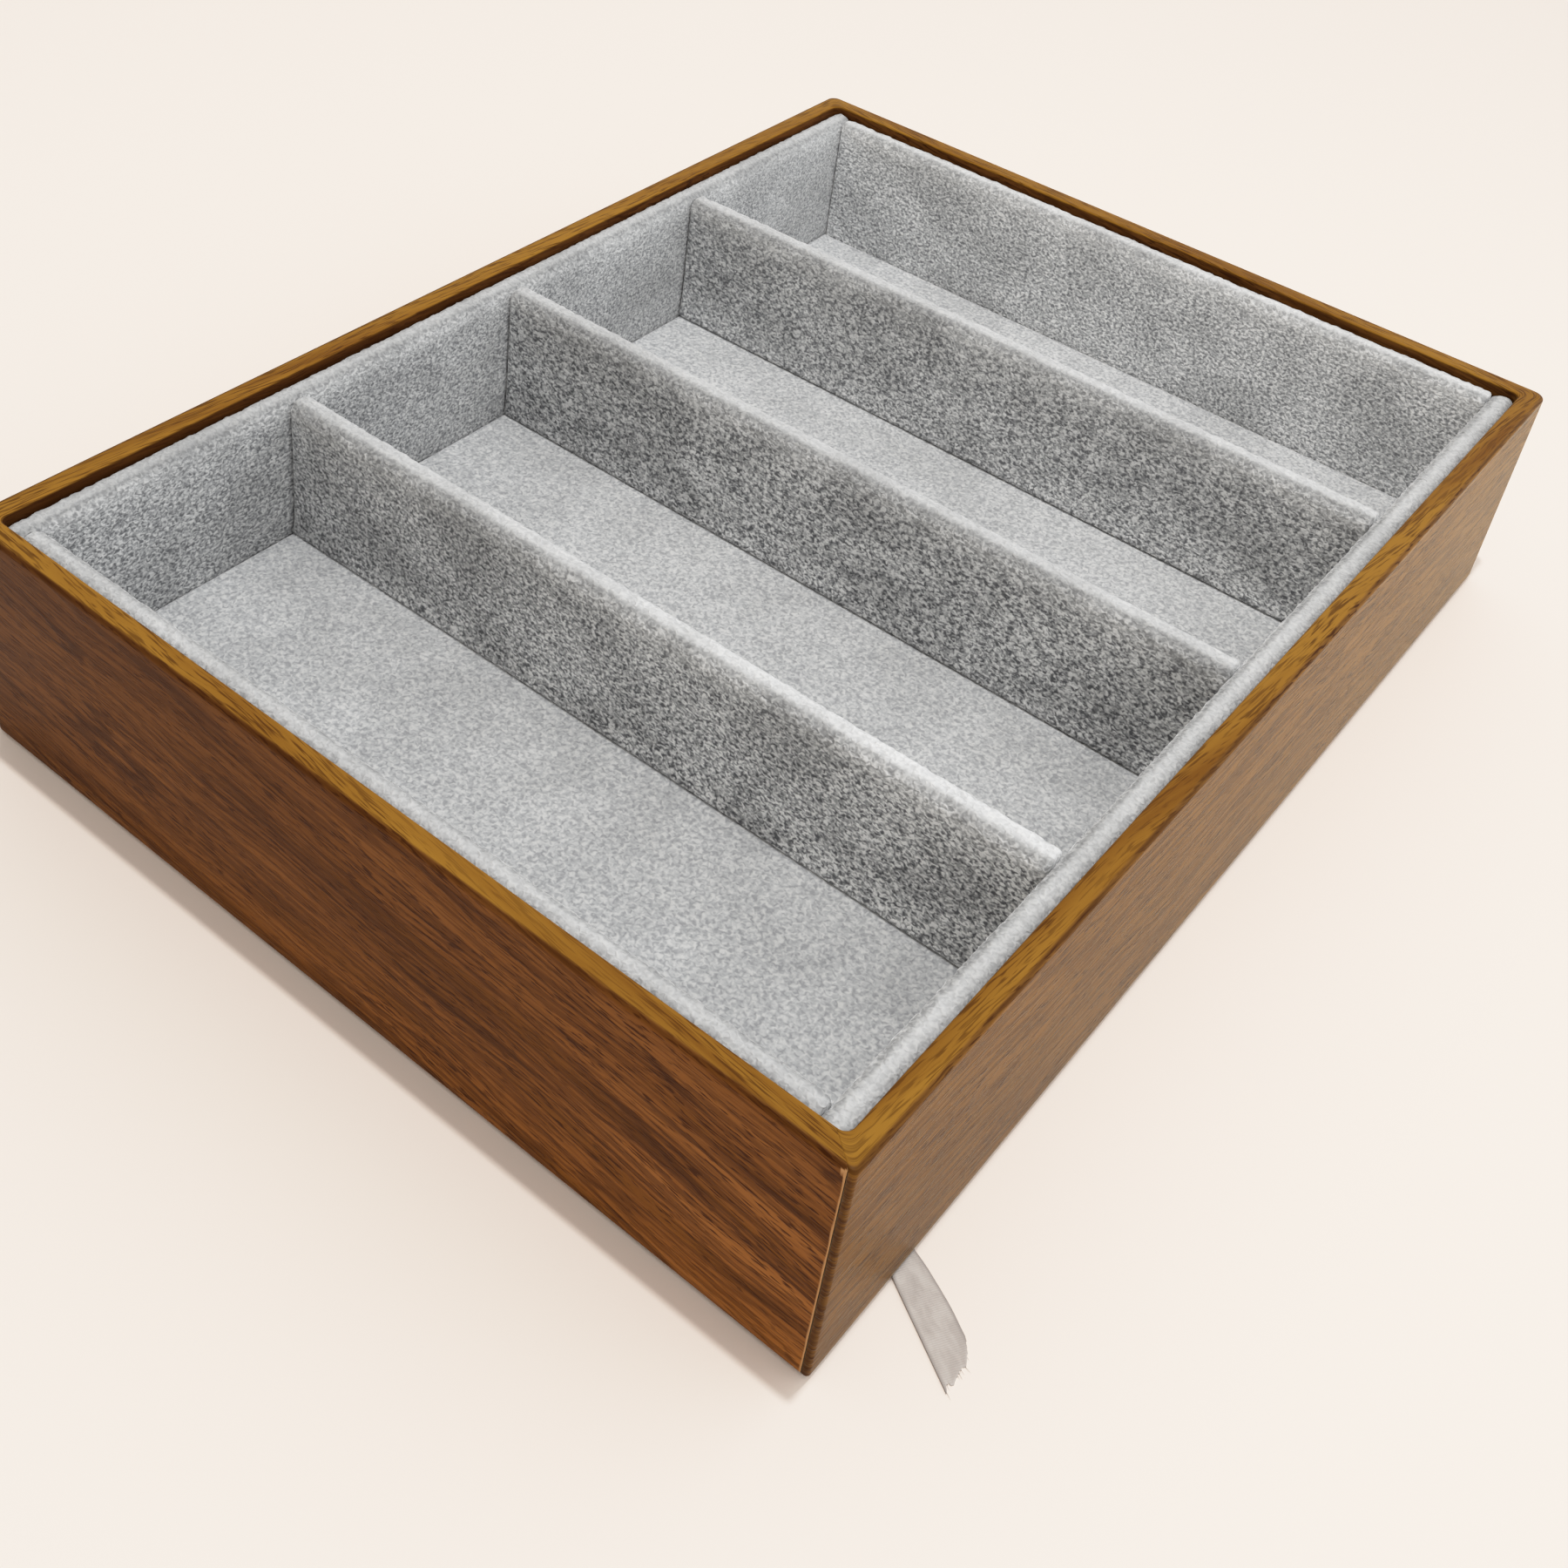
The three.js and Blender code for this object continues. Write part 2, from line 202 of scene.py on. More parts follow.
def velvet_material():
    velvet, tree, shader = new_material("short_pile_velvet", {
        "Roughness": 1.0, "Specular IOR Level": 0.05, "Sheen Weight": 0.8, "Sheen Roughness": 0.35})
    place = add_node(tree, "ShaderNodeTexCoord", output="Object")
    facing_up, painted_top_light, nap_and_light = (
        add_node(tree, "ShaderNodeAttribute", {"attribute_name": name}, output="Fac")
        for name in ("facing_up", "painted_top_light", "nap_and_light"))
    tufts = stretched_noise(tree, place, PILE_TUFT, 1, 0.4, 0.7)
    patches = stretched_noise(tree, place, BRUSHED_PATCH, 2, 3.0, 0.4)
    # Painted shade and light: on an upright face the gaps between tufts are painted dark and the tips pale.
    hanging_lit_and_shaded = add_node(tree, "ShaderNodeValToRGB", inputs={"Fac": tufts}, stops=[
        (0.30, "#5c5d60"), (0.5, "#b4b5b6"), (0.70, "#f8f8f7")])
    standing = add_node(tree, "ShaderNodeValToRGB", inputs={"Fac": tufts}, stops=[
        (0.27, "#98999b"), (0.5, "#b4b5b6"), (0.72, "#cccccb")])
    brushed = add_node(tree, "ShaderNodeValToRGB", inputs={"Fac": patches}, stops=[
        (0.36, "#dadada"), (0.60, "#ffffff")])
    loose = add_node(tree, "ShaderNodeMix", BLEND, {
        FACTOR: facing_up, UNDER: hanging_lit_and_shaded, OVER: standing}, MIXED)
    # Painted light: the top and a band just below it are brightened towards near white.
    pile = add_node(tree, "ShaderNodeMix", BLEND, {FACTOR: painted_top_light, UNDER: loose, OVER: "#f4f4f3"}, MIXED)
    hanging_share = add_node(tree, "ShaderNodeMath", {"operation": "MULTIPLY_ADD"}, {
        0: facing_up, 1: -STANDING_EVENNESS, 2: 1.0})
    uneven = add_node(tree, "ShaderNodeMix", MULTIPLY, {
        FACTOR: hanging_share, UNDER: pile, OVER: brushed}, MIXED)
    # The nap brightness is partly painted light, with a painted highlight on the crest and painted shade on
    # the shoulder.
    coloured = add_node(tree, "ShaderNodeMix", MULTIPLY, {FACTOR: 1.0, UNDER: uneven, OVER: nap_and_light}, MIXED)
    dress(tree, shader, coloured, tufts, PILE_HEIGHT, PILE_RELIEF)
    return velvet


velvet = velvet_material()
print("made", velvet.name)

# %% [markdown]
# ## Helpers for shapes
# Every soft piece here is a grid of points: a line across the piece, carried along it. numpy makes the
# points, and Blender gets them as one mesh. Values that are stored on the points tell a material where it
# is.

# %% Mesh helpers
SEED_STEP = (7.3, 3.1, 5.7)


def add_mesh(name, points, faces, material):
    """A new smooth object at the origin, with its points in the frame of the box, in metres."""
    mesh = bpy.data.meshes.new(name)
    mesh.from_pydata([tuple(p) for p in points], [], [tuple(f) for f in faces])
    mesh.polygons.foreach_set("use_smooth", [True] * len(mesh.polygons))
    mesh.materials.append(material)
    mesh.update()
    piece = bpy.data.objects.new(name, mesh)
    scene.collection.objects.link(piece)
    return piece


def add_values(piece, name, values):
    """Stores one number, or three, on each point of a mesh, for a material to read."""
    values = np.asarray(values, float)
    kind, field = ("FLOAT_VECTOR", "vector") if values.ndim == 2 else ("FLOAT", "value")
    piece.data.attributes.new(name, kind, "POINT").data.foreach_set(field, values.ravel())


def smooth_noise(points, lump, seed):
    """Noise from -1 to 1 at points in metres, with lumps of that size."""
    shift = Vector([seed * step for step in SEED_STEP])
    return np.array([noise.noise(Vector(p) / lump + shift) for p in points])


def steps(start, end, step):
    """Even places from start to end, about one step apart, without the last one."""
    return np.linspace(start, end, max(2, round(abs(end - start) / step) + 1))[:-1]


def grid_faces(rows, columns):
    """Four-sided faces between the points of a grid, numbered row by row."""
    first = (np.arange(rows - 1)[:, None] * columns + np.arange(columns - 1)).ravel()
    return np.stack([first, first + columns, first + columns + 1, first + 1], axis=1).tolist()


print("faces in a grid of 3 by 4 points:", len(grid_faces(3, 4)))

# %% [markdown]
# ## A velvet-covered panel
# A liner or a divider is a board with velvet glued over it: up one face, over the rounded top and down
# the other. As a sheet, that is one section line carried along the panel. Near the two ends the section
# gets thinner, because the cloth is folded round the end of the board.

# %% Section of a panel
FACE_STEP, LENGTH_STEP = 0.8 * MM, 0.7 * MM
ROUND_STEPS, END_STEPS = 9, 5
END_ROUND = 0.9 * MM
FOOT_EDGE = 0.45 * MM


def panel_section(half, height, top_round, low_back):
    """The cloth's line across a panel, from low on its back over the top to the foot of its front:
    places across and up, and the outward directions there."""
    turn = np.linspace(0, math.pi / 2, ROUND_STEPS)
    rise = steps(low_back, height - top_round, FACE_STEP)
    fall = np.append(steps(height - top_round, FOOT_EDGE, FACE_STEP)[1:], (FOOT_EDGE, 0))
    flat = half - top_round
    shoulder = height - top_round
    across = np.concatenate([
        np.full(len(rise), -half), -flat - top_round * np.cos(turn), flat + top_round * np.sin(turn),
        np.full(len(fall), half)])
    above = np.concatenate([
        rise, shoulder + top_round * np.sin(turn), shoulder + top_round * np.cos(turn), fall])
    out_across = np.concatenate([np.full(len(rise), -1.0), -np.cos(turn), np.sin(turn), np.ones(len(fall))])
    out_up = np.concatenate([np.zeros(len(rise)), np.sin(turn), np.cos(turn), np.zeros(len(fall))])
    return across, above, out_across, out_up


def panel_places(length):
    """Places along a panel, and how far its cloth is drawn in at the rounded ends."""
    ends = END_ROUND * (1 - np.cos(np.linspace(0, math.pi / 2, END_STEPS)))
    inner = steps(END_ROUND + LENGTH_STEP, length - END_ROUND, LENGTH_STEP)
    places = np.concatenate([ends, inner, length - ends[::-1]])
    from_end = np.minimum(np.minimum(places, length - places), END_ROUND)
    return places, END_ROUND - np.sqrt(END_ROUND ** 2 - (END_ROUND - from_end) ** 2)


print("places along 100 mm of panel:", len(panel_places(100 * MM)[0]))

# %% [markdown]
# Smooth noise lifts the cloth a few tenths of a millimetre, most along the top, where the pile spreads
# and the edge looks furry. The mesh also stores how bright the pile looks, partly nap and partly painted
# light: it drifts from one end of a panel to the other, with a painted highlight on the crest and painted
# shade on the shoulder beside it. Painted light also brightens the top and a little way down the face.

# %% Pile of a panel
TOP_FUR, FACE_FUR, TOP_LOOKS_UP = 0.26 * MM, 0.10 * MM, 0.15
FUR_LUMP = 1.2 * MM
TOP_WAVE, WAVE_LENGTH, WAVE_SEED = 0.22 * MM, 34 * MM, 50
# Painted light at the top of a face and on the crest.
TOP_LIGHT_DEPTH, TOP_LIGHT_SHARE, CREST_LIGHT = 1.6 * MM, 0.28, 0.35
TOP_LIGHT_LENGTH, TOP_LIGHT_VARIES = 9 * MM, 0.8
# Painted highlight on the crest and painted shade on the shoulder, by how far the cloth looks up.
RIDGE_FACES_UP = (0, 0.5, 0.85, 0.97, 1)
RIDGE_FRONT = (1, 0.74, 0.53, 0.69, 0.8)
DIVIDER_RIDGE_BACK = (0.9, 0.84, 0.86, 0.86, 0.8)
LINER_RIDGE_BACK = (0.85, 0.79, 0.71, 0.73, 0.77)
BACK_EVENNESS = 0.8


def furry(points, outward, out_up, seed):
    """The points of a panel, lifted outwards by the lumps and waves of its pile."""
    rows, columns = points.shape[:2]
    flat_points = points.reshape(-1, 3)
    fur = np.where(out_up > TOP_LOOKS_UP, TOP_FUR, FACE_FUR)
    lift = smooth_noise(flat_points, FUR_LUMP, seed).reshape(rows, columns) * fur
    waves = smooth_noise(flat_points, WAVE_LENGTH, seed + WAVE_SEED).reshape(rows, columns)
    return points + (lift + waves * TOP_WAVE * out_up)[:, :, None] * outward


def lay_nap_and_light(piece, places, above, out_across, out_up, shoulder, ridge_back, nap_and_light, brushed, seed):
    """Stores a panel's nap with its painted light and shade, from how bright and how even it looks at the
    panel's two ends.
    """
    ends = (0, places[-1])
    is_front = out_across > 0
    standing = np.where(is_front, out_up ** 2, np.maximum(out_up, BACK_EVENNESS))
    evenness = np.interp(places, ends, brushed)
    add_values(piece, "facing_up", np.maximum(standing[None, :], evenness[:, None]).ravel())
    # Painted highlight on the crest and painted shade on the shoulder.
    ridge = np.where(is_front, np.interp(out_up, RIDGE_FACES_UP, RIDGE_FRONT),
                     np.interp(out_up, RIDGE_FACES_UP, ridge_back))
    # Painted light, partly nap: the brightness drifts from one end of the panel to the other.
    add_values(piece, "nap_and_light", (np.interp(places, ends, nap_and_light)[:, None] * ridge).ravel())
    # Painted light: the crest, and a band at the top of each face whose depth wanders along the panel, are
    # brightened.
    varies = np.array([noise.noise(Vector((p / TOP_LIGHT_LENGTH, seed, 0))) for p in places])
    depth = TOP_LIGHT_DEPTH * (1 + TOP_LIGHT_VARIES * varies)[:, None]
    below_top = np.maximum(shoulder - above, 0)
    painted_top_light = TOP_LIGHT_SHARE * (1 - out_up) * np.exp(-below_top / depth) + CREST_LIGHT * out_up ** 2
    add_values(piece, "painted_top_light", painted_top_light.ravel())


print("crest over shoulder brightness:", round(RIDGE_FRONT[-1] / RIDGE_FRONT[2], 2))

# %% [markdown]
# The panel builder takes the box of a CAD node, so that every panel has its own place and size. Which of
# the two sides is the back depends on the wall it stands against: a liner shows its velvet only towards
# the compartments, and its cloth turns in a few millimetres behind the top. A divider shows both sides.
# The pile stands about a millimetre proud of the CAD. At its foot a divider's cloth spreads a little on
# the floor and tucks in under itself, which draws a thin dark line.

# %% Build a velvet-covered panel
TURN_IN = 12 * MM
END_DROP = 0.4
LINER_PROUD, DIVIDER_PROUD = 1.0 * MM, 0.9 * MM
BACK_PILE, FACE_PILE = 0.33 * MM, 0.15 * MM
ACROSS_REACH, ALONG_REACH = 0.2 * MM, 0.5 * MM
FOOT_FLARE, FLARE_HEIGHT, FOOT_TUCK = 0.8 * MM, 2.2 * MM, 0.8 * MM


def velvet_panel(node, facing, top_round, seed, nap_and_light, brushed):
    """Velvet for the panel of a CAD node. facing is the way that its shown face looks, the next value is how
    bright the pile looks at the panel's two ends, partly nap and partly painted light, and brushed is how
    even it looks there."""
    low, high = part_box(node)
    face = Vector(facing)
    along = Vector((1, 0, 0)) if face.y else Vector((0, 1, 0))
    is_liner = not node.startswith("divider")
    length = abs((high - low).dot(along))
    if is_liner:
        length += 2 * (ACROSS_REACH if along.x else ALONG_REACH)
    half = abs((high - low).dot(face)) / 2
    height = high.z - low.z + (LINER_PROUD if is_liner else DIVIDER_PROUD)
    low_back = height - TURN_IN if is_liner else 0.0
    across, above, out_across, out_up = panel_section(half, height, top_round, low_back)
    if is_liner:
        across = across + np.interp(across, (-half, half), (-BACK_PILE, FACE_PILE))
    else:
        across = across + out_across * FOOT_FLARE * np.exp(-above / FLARE_HEIGHT)
    across[-1] -= FOOT_TUCK

    places, inset = panel_places(length)
    origin = np.array((low + high) / 2 - along * (length / 2))
    origin[2] = low.z
    narrow = 1 - inset[:, None] / half
    lower = 1 - END_DROP * inset[:, None] / height
    upwards = np.array((0, 0, 1))
    points = (origin + places[:, None, None] * np.array(along)
              + (narrow * across)[:, :, None] * np.array(face)
              + (lower * above)[:, :, None] * upwards)
    outward = out_across[:, None] * np.array(face) + out_up[:, None] * upwards
    points = furry(points, outward, out_up, seed)

    rows, columns = points.shape[:2]
    faces = grid_faces(rows, columns)
    faces.append(list(range(columns)))
    faces.append([(rows - 1) * columns + i for i in reversed(range(columns))])
    if along.cross(face).z < 0:
        faces = [f[::-1] for f in faces]
    piece = add_mesh(f"{node}_cloth", points.reshape(-1, 3), faces, velvet)
    ridge_back = LINER_RIDGE_BACK if is_liner else DIVIDER_RIDGE_BACK
    lay_nap_and_light(piece, places, above, out_across, out_up, height - top_round, ridge_back, nap_and_light, brushed, seed)
    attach(piece, "tray")
    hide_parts(node)
    return piece


print("a divider's cloth stands", DIVIDER_PROUD / MM, "mm proud at the top")

# %% [markdown]
# Seven panels use the builder. Each gets two numbers for how bright it looks at its two ends, partly nap
# and partly painted light, and two for how even it was brushed there: the back liner is among the palest,
# and the far end of the left one is the smoothest.

# %% Liners and dividers
LINER_ROUND = 1.9 * MM
DIVIDER_ROUND = 2.2 * MM
LINER_COUNT = 4
# Brightness at each end, partly nap and partly painted light.
DIVIDER_NAP_AND_LIGHT = ((0.86, 1.4), (0.9, 1.1), (1.0, 1.15))
DIVIDER_BRUSHED = ((0.1, 0.0), (0.1, 0.1), (0.3, 0.2))

panels = [
    velvet_panel("front_liner_velvet", (0, 1, 0), LINER_ROUND, 1, (1.0, 1.0), (0, 0)),
    velvet_panel("back_liner_velvet", (0, -1, 0), LINER_ROUND, 2, (1.3, 1.4), (0.45, 0.4)),
    velvet_panel("left_liner_velvet", (1, 0, 0), LINER_ROUND, 3, (0.8, 1.0), (0.3, 0.8)),
    velvet_panel("right_liner_velvet", (-1, 0, 0), LINER_ROUND, 4, (1.05, 1.05), (0, 0)),
]
for number, (nap_and_light, brushed) in enumerate(zip(DIVIDER_NAP_AND_LIGHT, DIVIDER_BRUSHED), 1):
    panels.append(velvet_panel(
        f"divider_{number}_velvet", (0, -1, 0), DIVIDER_ROUND, LINER_COUNT + number, nap_and_light, brushed))
print("velvet panels:", len(panels), "with", sum(len(p.data.vertices) for p in panels), "points")

# %% [markdown]
# ## Velvet floor
# The floor is a card covered in the same velvet, dropped in between the liners. Its edges roll over,
# which leaves the thin dark line all round. A grid of points carries a brightness that is partly nap and
# partly painted light, paler towards the back, and its border is bent down.

# %% Floor
FLOOR_STEP = 1.0 * MM
FLOOR_EDGE_ROUND = 0.9 * MM
FLOOR_FUR, FLOOR_SEED = 0.07 * MM, 21
FLOOR_NAP_AND_LIGHT = (0.94, 1.26)


def edged_steps(start, end):
    """Places from start to end, closer together in the rolled edge."""
    edge = FLOOR_EDGE_ROUND * (1 - np.cos(np.linspace(0, math.pi / 2, END_STEPS)))
    inner = steps(start + FLOOR_EDGE_ROUND + FLOOR_STEP, end - FLOOR_EDGE_ROUND, FLOOR_STEP)
    return np.concatenate([start + edge, inner, end - edge[::-1]])


def velvet_floor():
    low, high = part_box("floor_velvet")
    across, along = edged_steps(low.x, high.x), edged_steps(low.y, high.y)
    x, y = np.meshgrid(across, along, indexing="ij")
    from_edge = np.minimum.reduce([x - low.x, high.x - x, y - low.y, high.y - y])
    inside = np.clip(from_edge, 0, FLOOR_EDGE_ROUND)
    drop = FLOOR_EDGE_ROUND - np.sqrt(FLOOR_EDGE_ROUND ** 2 - (FLOOR_EDGE_ROUND - inside) ** 2)
    points = np.stack([x, y, high.z - drop], axis=2).reshape(-1, 3)
    points[:, 2] += smooth_noise(points, FUR_LUMP, FLOOR_SEED) * FLOOR_FUR
    piece = add_mesh("floor_velvet_cloth", points, grid_faces(len(across), len(along)), velvet)
    add_values(piece, "facing_up", np.ones(len(points)))
    # Painted light, partly nap: the floor is paler towards the back.
    add_values(piece, "nap_and_light", np.interp(points[:, 1], (low.y, high.y), FLOOR_NAP_AND_LIGHT))
    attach(piece, "tray")
    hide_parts("floor_velvet")
    return piece


floor_cloth = velvet_floor()
print("floor points:", len(floor_cloth.data.vertices))

# %% [markdown]
# ## Walnut film
# The outside is not wood: it is a thin PVC film printed with walnut grain and pressed with fine pores,
# wrapped round fibreboard. The print has four sizes of mark: broad bands of colour, growth rings, fine
# streaks and short dashes for the pores. Each is noise that is stretched along the strip, one more slow
# noise makes the lines wander, and another gathers rings and dashes in groups. A ring darkens slowly and
# ends sharply, as late wood does: the fraction of a scaled noise has that shape. The strip's own
# coordinates, how far along it and how far across, are stored on the mesh, so the grain runs round the
# corners as the film does.

# %% Marks of the print
WANDER_LENGTH, WANDER_WIDTH, WANDER = 50 * MM, 20 * MM, 2.8 * MM
RING_LENGTH, RING_WIDTH, RING_COUNT = 160 * MM, 13 * MM, 8
DASH_LENGTH, DASH_WIDTH = 3 * MM, 0.36 * MM
RIM_DASH_LENGTH, RIM_DASH_WIDTH = 5 * MM, 0.3 * MM


def wandering(tree, strip):
    """The strip's coordinates with its lines bent by a slow noise."""
    bend = stretched_noise(tree, strip, (WANDER_LENGTH, WANDER_WIDTH, None), 4, 1.0)
    sideways = add_node(tree, "ShaderNodeMath", {"operation": "MULTIPLY_ADD"}, {
        0: bend, 1: 2 * WANDER, 2: -WANDER})
    shift = add_node(tree, "ShaderNodeCombineXYZ", inputs={"Y": sideways})
    return add_node(tree, "ShaderNodeVectorMath", {"operation": "ADD"}, {0: strip, 1: shift})


def printed_rings(tree, grain):
    """How dark the growth rings are, from 0 to 1."""
    growth = stretched_noise(tree, grain, (RING_LENGTH, RING_WIDTH, None), 2, 2.0)
    ring_number = add_node(tree, "ShaderNodeMath", {"operation": "MULTIPLY"}, {0: growth, 1: RING_COUNT})
    ring = add_node(tree, "ShaderNodeMath", {"operation": "FRACT"}, {0: ring_number})
    return add_node(tree, "ShaderNodeValToRGB", inputs={"Fac": ring}, stops=[
        (0.0, "#000000"), (0.5, "#181818"), (0.80, "#7c7c7c"),
        (0.88, "#dcdcdc"), (0.96, "#c4c4c4"), (1.0, "#000000")])


def printed_dashes(tree, grain, rim):
    """How dark the pores are, from 0 to 1: longer and thinner ones on the rim."""
    dashes = stretched_noise(tree, grain, (DASH_LENGTH, DASH_WIDTH, None), 3, 1.0)
    on_wall = add_node(tree, "ShaderNodeValToRGB", inputs={"Fac": dashes}, stops=[
        (0.55, "#000000"), (0.64, "#f4f4f4")])
    rim_dashes = stretched_noise(tree, grain, (RIM_DASH_LENGTH, RIM_DASH_WIDTH, None), 6, 1.0)
    on_rim = add_node(tree, "ShaderNodeValToRGB", inputs={"Fac": rim_dashes}, stops=[
        (0.50, "#000000"), (0.63, "#dcdcdc")])
    return add_node(tree, "ShaderNodeMix", BLEND, {FACTOR: rim, UNDER: on_wall, OVER: on_rim}, MIXED)


print("a ring is about", round(RING_WIDTH / RING_COUNT / MM, 1), "mm wide")

# %% [markdown]
# Over the rim the film is stretched, and its print turns paler and more golden; that gold is partly
# painted warm light on the top. It has little gloss face on. The right wall and the rim are rubbed: they
# show hardly any rings, and they look hazy at a low angle. Sheen gives that haze. An export keeps sheen
# only where it is one number all over, so the rubbed film is a material of its own. They also show
# hardly any rings, which partly stands in for the pale reflection on the right wall.

# %% Walnut film material
BAND_LENGTH, BAND_WIDTH = 90 * MM, 6 * MM
CLUSTER_LENGTH, CLUSTER_WIDTH = 50 * MM, 7 * MM
STREAK_LENGTH, STREAK_WIDTH = 18 * MM, 0.75 * MM
HAZE, SIDE_HAZE = 0.02, 0.42
PORE_DEPTH, PORE_RELIEF = 0.06 * MM, 0.5


def print_colour(tree, grain, rim, calm, painted_light_tone):
    """The colour between the marks: brown on the walls, golden on the rim, where the gold is partly painted
    warm light, and multiplied by painted light and shade along the strip.
    """
    bands = stretched_noise(tree, grain, (BAND_LENGTH, BAND_WIDTH, None), 1, 3.0)
    browns = add_node(tree, "ShaderNodeValToRGB", inputs={"Fac": bands}, stops=[
        (0.34, "#6f4317"), (0.48, "#7f4e22"), (0.64, "#8d592a")])
    # Partly painted light: the rim's golden tint also stands in for warm light on its top.
    golds = add_node(tree, "ShaderNodeValToRGB", inputs={"Fac": bands}, stops=[
        (0.34, "#6d4515"), (0.48, "#81571d"), (0.64, "#8e6323")])
    # Partly painted reflection: the calm, greener brown on the right wall stands in for its pale haze.
    calmed = add_node(tree, "ShaderNodeMix", BLEND, {FACTOR: calm, UNDER: browns, OVER: "#735022"}, MIXED)
    toned = add_node(tree, "ShaderNodeMix", MULTIPLY, {FACTOR: 1.0, UNDER: calmed, OVER: painted_light_tone}, MIXED)
    return add_node(tree, "ShaderNodeMix", BLEND, {FACTOR: rim, UNDER: toned, OVER: golds}, MIXED)


def walnut_film_material(name, haze):
    film, tree, shader = new_material(name, {
        "Specular IOR Level": 0.032, "Roughness": 0.4,
        "Sheen Weight": haze, "Sheen Roughness": 0.17, "Sheen Tint": linear("#f4f8e0")})
    strip = add_node(tree, "ShaderNodeAttribute", {"attribute_name": "strip"}, output="Vector")
    rim, fold_shade, cut_edge, calm, painted_light_tone = (
        add_node(tree, "ShaderNodeAttribute", {"attribute_name": value}, output="Fac")
        for value in ("on_rim", "fold_shade", "cut_edge", "calm", "painted_light_tone"))
    grain = wandering(tree, strip)
    rings, dashes = printed_rings(tree, grain), printed_dashes(tree, grain, rim)
    clusters = stretched_noise(tree, grain, (CLUSTER_LENGTH, CLUSTER_WIDTH, None), 5, 2.0)
    groups = add_node(tree, "ShaderNodeValToRGB", inputs={"Fac": clusters}, stops=[
        (0.38, "#b4b4b4"), (0.58, "#ffffff")])
    lines = stretched_noise(tree, grain, (STREAK_LENGTH, STREAK_WIDTH, None), 7, 2.0)
    streaks = add_node(tree, "ShaderNodeValToRGB", inputs={"Fac": lines}, stops=[
        (0.44, "#000000"), (0.57, "#bcbcbc")])
    grouped = add_node(tree, "ShaderNodeMix", MULTIPLY, {FACTOR: 1.0, UNDER: rings, OVER: groups}, MIXED)
    ring_share = add_node(tree, "ShaderNodeMix", BLEND, {
        FACTOR: calm, UNDER: grouped, OVER: "#000000"}, MIXED)
    streak_share = add_node(tree, "ShaderNodeMix", BLEND, {
        FACTOR: rim, UNDER: streaks, OVER: "#000000"}, MIXED)
    dash_share = add_node(tree, "ShaderNodeMix", MULTIPLY, {FACTOR: 1.0, UNDER: dashes, OVER: groups}, MIXED)

    shown = print_colour(tree, grain, rim, calm, painted_light_tone)
    # The fold colour is painted shade.
    for share, colour in ((ring_share, "#351a08"), (streak_share, "#3a1c08"), (dash_share, "#3a1c08"),
                          (fold_shade, "#341a08"), (cut_edge, "#b98a5c")):
        shown = add_node(tree, "ShaderNodeMix", BLEND, {FACTOR: share, UNDER: shown, OVER: colour}, MIXED)
    marks = add_node(tree, "ShaderNodeMath", {"operation": "ADD"}, {0: rings, 1: dashes})
    dress(tree, shader, shown, marks, PORE_DEPTH, PORE_RELIEF, dents=True)
    return film


walnut_film = walnut_film_material("walnut_print_film", HAZE)
rubbed_film = walnut_film_material("walnut_print_film_rubbed", SIDE_HAZE)
print("made", walnut_film.name, "and", rubbed_film.name)

# %% [markdown]
# ## The wrap
# One strip goes round the whole frame. Its section turns under the wall, runs up the outside, over the
# rim and a little way down inside. Carried round a rectangle with soft corners, the section meets itself
# at the corner nearest the camera, where the two cut ends leave a seam. A modelled section is better than
# a bevelled box here: the film is softer at the rim than at its foot, and the seam has to stay open down
# the wall.

# %% Section of the wrap
FILM = 0.4 * MM
OUTER_RIM_ROUND, INNER_RIM_ROUND = 0.9 * MM, 0.5 * MM
FOOT_ROUND = 0.6 * MM
SHARP_FOLD = 0.02 * MM
RIM_SWELL = 0.7 * MM
FILM_TURN_IN = 12 * MM
FILM_TURN_UNDER = 9 * MM
WALL_STEP = 1.2 * MM

wrap_low, wrap_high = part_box("wood_grain_wrap")
HALF_X, HALF_Y = wrap_high.x, wrap_high.y
RIM, FOOT = wrap_high.z + RIM_SWELL, wrap_low.z
WALL = HALF_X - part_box("right_board")[0].x + FILM


def arc(centre, radius, start, end, count=8):
    """Points on an arc, with angles in degrees."""
    angles = np.radians(np.linspace(start, end, count))
    return [(centre[0] + radius * math.cos(a), centre[1] + radius * math.sin(a)) for a in angles]


def film_line(depth):
    """Points (distance in from the outer face, height) along the film, at a depth below its shown side."""
    inner, outer, foot = (max(r - depth, SHARP_FOLD) for r in (INNER_RIM_ROUND, OUTER_RIM_ROUND, FOOT_ROUND))
    line = [(WALL - depth, RIM - FILM_TURN_IN)]
    line += arc((WALL - depth - inner, RIM - depth - inner), inner, 0, 90)
    line += arc((depth + outer, RIM - depth - outer), outer, 90, 180)
    line += [(depth, height) for height in steps(RIM - OUTER_RIM_ROUND, FOOT + FOOT_ROUND, WALL_STEP)[1:]]
    line += arc((depth + foot, FOOT + depth + foot), foot, 180, 270, 5)
    line += [(FILM_TURN_UNDER, FOOT + depth)]
    return line


shown_line = film_line(0)
wrap_section = np.array(shown_line + film_line(FILM)[::-1])
print("points round the film:", len(wrap_section))

# %% [markdown]
# The rings go from the seam round to the seam. One end of the film turns round the corner and stops a
# third of a millimetre along the front wall, and the other end stops just short of it. Below the rim the
# two stand a little apart, and the cut wanders by a few hundredths of a millimetre, as a knife does.
# Rings close to the cut keep its pale edge from spreading along the wall.

